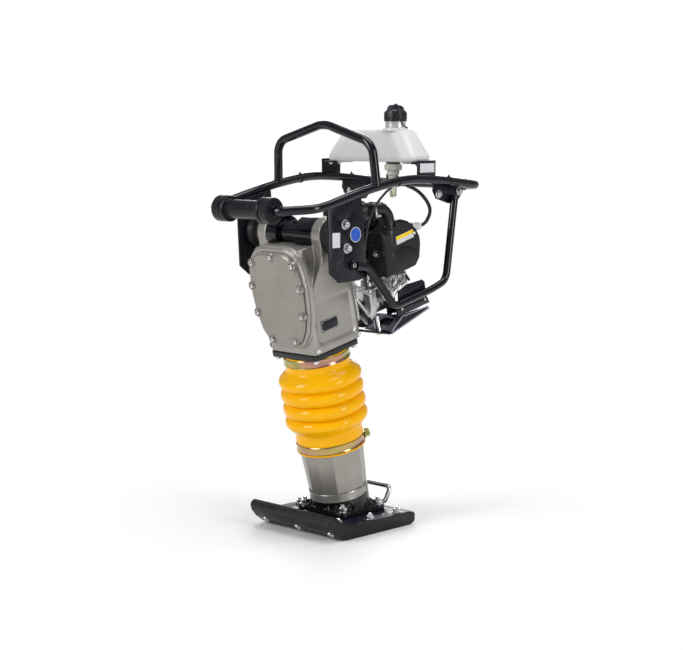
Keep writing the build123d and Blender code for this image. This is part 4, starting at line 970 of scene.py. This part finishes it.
def make_carburettor():
    """Carburettor with its bowl, choke shaft, governor links and springs."""
    bm = bmesh.new()
    block(bm, (72.5, 152, 562), (102, 194, 598), 3.0, 3)
    bowl = [(0, 0), (0, 11), (2, 14), (4, 15.6), (14, 16), (16, 15), (17, 13), (17, 0)]
    turned(bm, bowl, (90, 174, 544.5), (0, 0, 1), 40)
    turned(bm, [(0, 0), (0, 13), (6.6, 13), (6.6, 0)], (90, 174, 598), (0, 0, 1), 32)
    turned(bm, [(0, 0), (0, 10.8), (3, 11.5), (6, 10.4), (30, 10.4), (34, 11.5), (44, 11), (44, 0)],
           (88, 196, 585), (0, 1, 0), 36)
    block(bm, (76, 206, 562), (97, 256, 592), 3.0, 3)
    for y in (158, 188):
        turned(bm, [(0, 0), (0, 5), (6, 5), (7, 4), (7, 0)], (95, y, 596), (0.2, 0, 1), 24)
    for y, z in ((160, 570), (186, 570), (216, 570), (246, 586), (232, 576)):
        turned(bm, [(0, 0), (0, 4.6), (3, 4.6), (3.8, 3.4), (3.8, 0)], (96 if y > 200 else 101, y, z),
               (1, 0, 0), 24)
    shape("carburettor_body", bm, LEG, "carburettor", replaced=("carburettor",))
    bm = bmesh.new()
    for y, z in ((190, 565), (240, 572), (222, 586)):
        hex_bolt(bm, (101.5 if y < 200 else 96.5, y, z), (1, 0, 0), 8, 4)
    hexagon(bm, (90, 174, 544.6), (0, 0, -1), 10, 5)
    links = ((168, 590, 230, 600), (186, 560, 244, 574), (200, 545, 242, 582), (158, 606, 214, 604))
    for y0, z0, y1, z1 in links:
        middle = (103.6, (y0 + y1) / 2, (z0 + z1) / 2 + 3)
        joined(bm, piped([(101.5, y0, z0), middle, (100, y1, z1)], 1.2, sides=4))
    turns = 14  # of the little governor spring
    coil = [(103 + 2.6 * cos(i * pi / 3), 206 + i * 0.42, 601 + 2.6 * sin(i * pi / 3))
            for i in range(turns * 6)]
    joined(bm, piped(coil, 0.7, resolution=2, sides=3))
    block(bm, (98.5, 198, 566), (100.5, 214, 606), 0.6)
    block(bm, (98.5, 228, 556), (100.3, 250, 570), 0.6)
    shape("governor_links", bm, LEG, "carburettor", "zinc_steel")
    bm = piped([(92, 226, 604), (95, 238, 600), (97, 252, 584), (98, 260, 566)], 3.2, sides=6)
    joined(bm, piped([(99, 160, 604), (102, 156, 590), (101, 160, 572), (96, 168, 558)], 2.4, sides=6))
    shape("intake_breather_tube", bm, LEG, "carburettor", "hose_rubber")
    bm = bmesh.new()
    turned(bm, [(0, 0), (0, 6), (2.5, 6), (5.2, 5), (5.2, 0)], (104.3, 162, 590), (1, 0, 0), 28)
    block(bm, (107.2, 158.5, 564), (109.3, 165.5, 592), 1.0)
    shape("choke_lever_finish", bm, LEG, "choke_lever", replaced=("choke_lever",))


# hose and elbow: their axis, and the ends of the canister, the hose and the air box's boss
AIR_X, AIR_Y, AIR_Z, BOSS_TOP, CANISTER_END, HOSE_END = 120.0, 73.0, 791.5, 741.0, -22.0, 14.0


def make_air_duct():
    """Filter canister, ribbed hose and elbow that lead into the air box."""
    bm = bmesh.new()
    profile = [(0, 9.8), (0, 15)]
    y = 1.5
    length = HOSE_END - CANISTER_END
    while y < length - 4:
        profile += [(y, 12.6), (y + 1.2, 12.8), (y + 1.7, 13.8), (y + 1.9, 16.2), (y + 2.5, 16.9),
                    (y + 3.3, 16.9), (y + 3.9, 16.2), (y + 4.1, 13.8), (y + 4.6, 12.8), (y + 5.6, 12.6)]
        y += 6.6
    profile += [(length, 13.0), (length, 9.8)]
    turned(bm, profile, (AIR_X, CANISTER_END + 0.2, AIR_Z), (0, 1, 0), 56)
    shape("ribbed_hose_finish", bm, WORLD, "ribbed_air_hose", replaced=("ribbed_air_hose",), sharp=60)
    bend = 32.0  # radius of the elbow's centre line
    route = [(AIR_X, HOSE_END, AIR_Z), (AIR_X, HOSE_END + 14, AIR_Z)]
    for i in range(11):
        angle = radians(9 * i)
        route.append((AIR_X, AIR_Y - bend + bend * sin(angle), AIR_Z - bend + bend * cos(angle)))
    route += [(AIR_X, AIR_Y, 752), (AIR_X, AIR_Y, BOSS_TOP)]
    bm = piped(route, 13.4, resolution=12, sides=14)
    for start, way in (((AIR_X, HOSE_END + 0.2, AIR_Z), (0, 1, 0)),
                       ((AIR_X, AIR_Y, BOSS_TOP + 8.5), (0, 0, -1))):
        turned(bm, [(0, 13), (0, 15.2), (1, 15.8), (7, 15.8), (8.4, 15), (8.4, 13)], start, way, 48)
    shape("air_elbow_finish", bm, WORLD, "air_elbow", replaced=("air_elbow",), sharp=40)
    bm = bmesh.new()
    can = [(0, 0), (0, 12), (1.5, 17), (4, 20.5), (8, 22), (30, 22), (32, 23.2), (34.5, 23.2), (36, 22),
           (36, 0)]
    turned(bm, can, (AIR_X, CANISTER_END - 36, AIR_Z), (0, 1, 0), 64)
    shape("air_canister_finish", bm, WORLD, "air_filter_canister", replaced=("air_filter_canister",))
    bm = bmesh.new()
    clip = [(0, 14.6), (0, 15.6), (4, 15.6), (4, 14.6)]
    turned(bm, clip, (AIR_X, HOSE_END - 4, AIR_Z), (0, 1, 0), 48)
    cap_screw(bm, (AIR_X + 15, HOSE_END - 2, AIR_Z - 6), (0.2, 0, -1), 2.6, 7)
    shape("hose_clip", bm, WORLD, "ribbed_air_hose", "zinc_steel")


def make_skid():
    """Lower skid with its bush, pads, a black sheet painted as the shade in its side slot, and the rail along
    the near edge of its plate.
    """
    refined("skid_frame", 0.9)
    refined("skid_plate", 0.9)
    bm = bmesh.new()
    for y in (206, 292):
        cap_screw(bm, (112, y, 508), (1, 0, 0), 3.4, 2.2)
    hexagon(bm, (70, 155, 461), (0, 0, -1), 14, 6)
    turned(bm, [(0, 0), (0, 8.6), (10, 8.6), (11, 8.05), (42, 8.05), (42, 0)], (70, 155, 462), (0, 0, 1), 40)
    shape("skid_fasteners", bm, LEG, "skid_frame", "zinc_steel")
    bm = bmesh.new()
    for line in ([(163, 460.5), (204.6, 485.2), (205.4, 481.2), (165, 457)],
                 [(206, 485.6), (297, 483.6), (297, 480), (206, 481.6)]):
        swept(bm, rounded(line, 1.2, 3), [(31, -0.8), (32, 0), (103, 0), (104, -0.8)])
    # painted shade: this black sheet stands for the shade inside the slot of the skid's side web
    web = rounded([(168, 462), (206, 485.0), (299, 483.2), (300, 481.4)], 1.0, 3)
    swept(bm, web, [(104.4, 0), (108, 0)])
    shape("skid_pads_and_slot_shade", bm, LEG, "skid_plate", "mount_rubber")
    rail = rounded([(158.5, 457.5), (304, 479.2), (305.5, 483.6), (302, 483.6), (160, 461.6)], 1.2, 3)
    bm = swept(bmesh.new(), rail, [(98, -0.8), (98.8, 0), (111, 0), (111.8, -0.8)])
    shape("skid_lower_rail", bm, LEG, "skid_plate")


# ---- handle: outer face of the side plates, and the middle of the side tubes ----
PLATE_SIDE, TUBE_X = 158.0, 168.0


def make_handle():
    """Side plates and brackets of the handle, with their bolts and weld beads."""
    for node, bevel in (("side_plates", 0.9), ("tank_brackets", 0.8), ("guard_brackets", 0.8)):
        refined(node, bevel)
    bm = bmesh.new()
    for side in (-1, 1):
        for y, z in ((-118, 763), (-111, 707)):
            hex_bolt(bm, (side * PLATE_SIDE, y, z), (side, 0, 0), 16, 8, 12)
            stud(bm, Vector((side * 167.4, y, z)), (side, 0, 0), 4.8, 3.2)
        for y, z in ((211, 823), (289, 828)):
            hex_bolt(bm, (side * PLATE_SIDE, y, z), (side, 0, 0), 13, 6, 10.5)
            hexagon(bm, (side * (PLATE_SIDE - 4), y, z), (-side, 0, 0), 13, 4)
        for y in (143, 175):
            hex_bolt(bm, (side * 150, y, 897.8), (0, 0, -1), 8, 4, 7)
    shape("handle_fasteners", bm, WORLD, "frame_bolts", replaced=("frame_bolts",))

    bm = bmesh.new()
    for side in (-1, 1):
        bead(bm, (side * 168.7, -23, 856.5), (-0.06 * side, -0.05, 1), 10.4)
        bead(bm, (side * TUBE_X, 262.5, 841.5), (0, 0.1, 1), 9.2)
        bead(bm, (side * TUBE_X, 299.9, 847.5), (0, 1, -0.11), 10.3, 1.1)
        bead(bm, (side * 94.5, ROLLER_Y, ROLLER_Z), (1, 0, 0), 10.2, 1.2)
    shape("weld_beads", bm, WORLD, "handle_tube_left", sharp=80)


def blank_label(name, node, x, low, high, top):
    """Blank rectangular label between two (y, z) corners on the face at x."""
    outline = rounded([low, (high[0], low[1]), high, (low[0], high[1])], 1.2)
    shape(name, plate(bmesh.new(), outline, [(0, -0.4), (0, top)], on_side(x)), WORLD, node, "label_white")


def make_handle_trim():
    """Guard tabs, cable ties and blank labels on the handle."""
    bm = bmesh.new()
    tab = bmesh.new()
    for side in (-1, 1):
        centre = leg_point(side * 164, 18, 677.6) / MM
        turned(tab, [(-6, 0), (-6, 12), (-5, 13), (-1.5, 13), (-0.5, 12), (-0.5, 0)], centre, (side, 0, 0), 36)
        hex_bolt(bm, centre - Vector((side * 0.6, 0, 0)), (side, 0, 0), 11, 5)
    shape("guard_tabs", tab, WORLD, "guard_tube_left")
    shape("guard_tab_bolts", bm, WORLD, "guard_tube_left", "zinc_steel")
    bm = bmesh.new()
    for side in (-1, 1):
        for y, z, slope in ((52, 858.2, 0.14), (238, 854.6, -0.11)):
            x = side * TUBE_X
            turned(bm, [(-2, 10.7), (-2, 12.0), (2, 12.0), (2, 10.7)], (x, y, z), (0, 1, slope), 40)
            block(bm, (x - 2.4, y - 2.6, z + 10.6), (x + 2.4, y + 2.6, z + 13.2), 0.6)
            block(bm, (x - 2.0, y - 0.7, z + 12), (x + 2.0, y + 0.7, z + 16), 0.4)
    shape("cable_ties", bm, WORLD, "handle_tube_left", "hose_rubber")
    blank_label("blank_label_plate", "side_plates", PLATE_SIDE, (-159, 710), (-134, 745), 0.35)
    for name, slot, r, low, high in (("round_label_rim", "label_white", 18, -0.4, 0.4),
                                     ("round_label_blank", "label_blue", 16.4, 0.2, 0.6)):
        disc = turned(bmesh.new(), [(low, 0), (low, r), (high, r), (high, 0)], (PLATE_SIDE, -82, 738),
                      (1, 0, 0), 64)
        shape(name, disc, WORLD, "side_plates", slot)
    blank_label("blank_label_tank_bracket", "tank_brackets", 166, (134, 878), (186, 900), 0.4)

ROLLER_Y, ROLLER_Z = -282.0, 798.6  # axis of the front roller


def make_roller():
    """Front roller with its end discs, grooves and two screw heads."""
    profile = [(-93, 8.45), (-93, 15), (-91.5, 15.6), (-91.5, 27), (-93, 28), (-92.4, 29.6), (-91, 31),
               (-70, 31), (-68.6, 30), (-68.6, 28.6), (-67.6, 28.2), (-66.4, 28.6), (-66.4, 30.4), (-65, 31),
               (-57.6, 31), (-55.6, 30.2), (-55, 28.6), (-55, 24), (-53.5, 22.2), (-50, 22)]
    profile += [(-x, r) for x, r in reversed(profile)]
    bm = turned(bmesh.new(), profile, (0, ROLLER_Y, ROLLER_Z), (1, 0, 0), 96)
    socket_shade = bmesh.new()
    for side in (-1, 1):
        head = [(0, 0), (0, 2.6), (0.6, 3.4), (1.2, 3.6), (1.2, 0)]
        turned(bm, head, (side * 80, ROLLER_Y - 31.6, ROLLER_Z), (0, 1, 0), 20)
        # painted shade: black discs over the screw heads stand for the shade inside their sockets
        socket = [(0, 0), (0, 3.1), (1.0, 3.1), (1.0, 0)]
        turned(socket_shade, socket, (side * 80, ROLLER_Y - 31.9, ROLLER_Z), (0, 1, 0), 20)
    shape("roller_finish", bm, WORLD, "roller", replaced=("roller",), sharp=35)
    shape("roller_socket_shade_discs", socket_shade, WORLD, "roller", "mount_rubber")


# ---- tank ----
FILLER = Vector((62, 158, 0))
TAP = Vector((55, 158, 0))
# height, half length, near and far side, and corner radius of the tank's rings
TANK = [(902, 141, 126, 218, 20), (902.6, 144.5, 122.4, 221.6, 21), (905, 147.6, 119.4, 224.6, 22),
        (914, 148.2, 118.8, 225.0, 22), (918, 147.0, 119.6, 224.4, 22), (922, 144.4, 120.4, 223.4, 22),
        (972, 109.5, 130.0, 210.0, 18), (978, 104.5, 131.8, 208.0, 17), (981.3, 98, 136, 203, 14),
        (982.3, 90, 144, 196, 8)]


def tank_ring(z, half, near, far, r):
    """Plan of the tank at one height: broad chamfers at the near corners, longer ones behind."""
    deep = (far - near) / 104
    plan = [(half - 30, near), (half, near + 11 * deep), (half, near + 70 * deep), (half - 34, far)]
    return [(p.x, p.y, z) for p in rounded(plan + [(-x, y) for x, y in reversed(plan)], r, 8)]


def make_tank():
    """Blow-moulded tank with its feet, seam and neck."""
    bm = lofted(bmesh.new(), [tank_ring(*level) for level in TANK])
    for side in (-1, 1):
        block(bm, (side * 112 - 8, 136, 897.8), (side * 112 + 8, 180, 903), 1.5)
    collar = [(978, 32.5), (983.5, 32), (985.0, 29.5), (986.0, 27.2), (986.0, 20), (978, 20)]
    turned(bm, collar, FILLER, steps=64)
    shape("tank_shell", bm, WORLD, "fuel_tank", replaced=("fuel_tank",), sharp=42)
    seam = [(908.6, 147.8, 119.2, 224.8, 22), (908.8, 148.9, 118.1, 225.9, 22.4),
            (909.8, 148.9, 118.1, 225.9, 22.4), (910.0, 147.8, 119.2, 224.8, 22)]
    shape("tank_seam", lofted(bmesh.new(), [tank_ring(*level) for level in seam]), WORLD, "fuel_tank",
          sharp=42)
    neck = [(982, 20.8), (982, 25.5), (984.6, 25.5), (985.2, 24.9), (996.4, 24.9), (997.0, 25.5),
            (998.2, 25.5), (998.8, 24.7), (999.4, 25.3), (1000.6, 25.3), (1001.0, 24.6), (1001.0, 20.8)]
    bm = turned(bmesh.new(), neck, FILLER, steps=72)
    shape("tank_neck", bm, WORLD, "fuel_tank", "neck_grey", sharp=30)


def make_cap():
    """Filler cap with a ribbed skirt, a raised wing and its moulded tether."""
    bm = bmesh.new()
    skirt = [(1001.4, 25.9), (1001.4, 27.9), (1002.2, 28.5), (1003.8, 28.5), (1004.6, 27.4), (1023, 27.0),
             (1026.4, 26.0), (1028.6, 23.6), (1029.6, 20), (1029.9, 0)]
    turned(bm, skirt, FILLER, steps=96)
    for i in range(28):
        turn = Matrix.Rotation(2 * pi * i / 28, 3, "Z")
        at = FILLER + turn @ Vector((27.4, 0, 1014.3))
        block(bm, at - Vector((1.0, 1.5, 9.3)), at + Vector((1.0, 1.5, 9.3)), 0.7, turn=turn)
    shape("cap_skirt", bm, WORLD, "tank_cap", sharp=30)
    bm = bmesh.new()
    wing = [(-21, 1026), (-20.5, 1031), (-18.5, 1037), (-14, 1041), (-7, 1042), (7, 1042), (14, 1041),
            (18.5, 1037), (20.5, 1031), (21, 1026)]
    turn = Matrix.Rotation(radians(30), 3, "Z")
    plate(bm, rounded(wing, 4), [(-2.2, -10.4), (-0.6, -9.8), (0, -8.2), (0, 8.2), (-0.6, 9.8), (-2.2, 10.4)],
          lambda p, depth: FILLER + turn @ Vector((p.x, depth, p.y)))
    turned(bm, [(1026, 0), (1026, 23), (1028.8, 23), (1030.4, 21.6), (1030.8, 0)], FILLER, steps=72)
    shape("cap_wing", bm, WORLD, "tank_cap", "cap_blue_black", replaced=("tank_cap",), sharp=35)
    tail = [(70, 152, 1042.5), (82, 145, 1041), (93, 140, 1026), (97, 138, 1006), (104, 139, 991),
            (116, 144, 985.5)]
    bm = piped(tail, 1.9, sides=6)
    turned(bm, [(0, 0), (0, 4.2), (2.2, 4.2), (3, 3.2), (3, 0)], (68, 153, 1041.6), (0, 0, 1), 28)
    shape("cap_tether", bm, WORLD, "tank_cap")


def make_petcock():
    """Petcock with its nut, clear cup, strainer and fuel."""
    bm = bmesh.new()
    turned(bm, [(881.0, 0), (881.0, 20.6), (882.6, 22.4), (894, 22.6), (895.6, 21.4), (895.6, 0)], TAP,
           steps=60, across=40)
    turned(bm, [(895.4, 0), (895.4, 17.5), (901.8, 17.5), (901.8, 0)], TAP, steps=40)
    turned(bm, [(852.4, 0), (852.4, 8), (856, 11.0), (869, 11.4), (870.5, 15.4), (880, 15.6), (881.2, 15),
                (881.2, 0)], TAP, steps=48)
    turned(bm, [(0, 0), (0, 5.4), (6, 5.4), (8, 6.2), (13, 6.2), (14, 5), (19, 4.4), (19, 0)], (66, 158, 862),
           (0.62, 0, -0.42), 28)
    for angle in range(0, 360, 45):
        turn = Matrix.Rotation(radians(angle), 3, "Z")
        mid = TAP + turn @ Vector((11.9, 0, 868))
        block(bm, mid - Vector((0.8, 1.2, 6)), mid + Vector((0.8, 1.2, 6)), 0.5, turn=turn)
    shape("petcock_body", bm, WORLD, "petcock", replaced=("petcock",), sharp=30)
    bm = bmesh.new()
    turned(bm, [(849.5, 0), (849.5, 10.6), (850.4, 11.2), (855.4, 11.2), (856.2, 10.6), (856.2, 0)], TAP,
           steps=48)
    turned(bm, [(897.6, 0), (897.6, 18.4), (900.6, 18.4), (900.6, 0)], TAP, steps=48)
    shape("petcock_rings", bm, WORLD, "petcock", "cap_black")
    bm = bmesh.new()
    turned(bm, [(814, 0), (813.2, 4), (814.4, 6.6), (817.5, 8.4), (822, 9.0), (850, 9.0), (850, 7.8),
                (822, 7.8), (818, 7.2), (815.6, 4), (815.4, 0)], TAP, steps=48)
    shape("petcock_cup", bm, WORLD, "petcock", "cup_clear")
    bm = bmesh.new()
    turned(bm, [(817, 0), (817, 6.6), (831, 7.5), (831.3, 0)], TAP, steps=40)
    shape("petcock_fuel", bm, WORLD, "petcock", "petrol")
    bm = bmesh.new()
    for height in (834.0, 838.5, 843.0):
        turned(bm, [(0, 4.6), (0, 5.4), (1.4, 5.4), (1.4, 4.6)], TAP + Vector((0, 0, height)), steps=32)
    shape("petcock_strainer", bm, WORLD, "petcock", "zinc_steel")
    refined("fuel_tap_lever", 0.6)


# ---- hose and cable: the routes are those of the CAD ----
FUEL_ROUTE = [(79, 157, 854), (99, 158, 845), (101, 197, 832), (101, 234, 804), (101, 249, 777),
              (101, 226, 744), (101, 200, 742)]
CABLE_ROUTE = [(113.5, 336, 838), (138, 326, 841), (150, 286, 847), (150, 205, 856), (150, 120, 859),
               (152, 62, 853), (156, 26, 836), (157, -8, 810), (158, -34, 776), (157, -45, 738),
               (149, -42, 700), (139, -34, 666), (130, -22, 626), (117, 6, 594), (98, 57.4, 602.6)]


def flexible(name, route, r, node):
    """Hose or cable as one tube along its route, baked in place and held by no body."""
    mesh = mesh_of(name, piped(route, r, resolution=12, sides=6), WORLD)
    obj = publish(name, mesh, "hose_rubber", None, (node,), 60)
    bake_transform(obj)


def make_lines():
    """Fuel hose and throttle cable with the fitting and the ferrule at their ends."""
    flexible("fuel_hose_bent", FUEL_ROUTE, 4.5, "fuel_hose")
    flexible("throttle_cable_bent", CABLE_ROUTE, 3.0, "throttle_cable")
    bm = bmesh.new()
    turned(bm, [(-7, 4.6), (-7, 6.6), (-5.5, 8.4), (0, 9.4), (5, 10.4), (9, 10.4), (10, 9.3), (26, 9.3),
                (27, 8.2)], (101, 199.5, 742), (0, -0.995, 0.05), 40, closed=False)
    shape("hose_fitting", bm, WORLD, "air_box_cover", "tank_plastic")
    bm = bmesh.new()
    way = Vector(CABLE_ROUTE[-1]) - Vector(CABLE_ROUTE[-2])
    start = Vector(CABLE_ROUTE[-1]) - way.normalized() * 26
    turned(bm, [(0, 3.05), (0, 4.6), (12, 4.6), (13, 5.6), (17, 5.6), (18, 4.4), (26, 4.4), (26, 3.05)], start,
           way, 32)
    shape("cable_ferrule", bm, WORLD, "gear_case", "zinc_steel", body="crankcase")


def make_throttle():
    """Clamp and lever of the throttle."""
    refined("throttle_clamp", 0.8)
    refined("throttle_lever", 1.2, 3)


materials = make_materials()
make_camera()
make_light()
make_floor()
dress_cad()
make_shoe()
make_leg()
make_springs()
make_bellows()
make_band("lower_band", 83.6, 212.0, -36.0, "lower_clamp_band")
make_band("upper_band", 80.2, 435.0, 20.0, "upper_clamp_band")
make_case()
make_type_plate()
make_mounts()
make_engine()
make_engine_ribs()
make_cowl()
make_recoil()
make_silencer()
make_intake()
make_carburettor()
make_air_duct()
make_skid()
make_handle()
make_handle_trim()
make_roller()
make_tank()
make_cap()
make_petcock()
make_lines()
make_throttle()
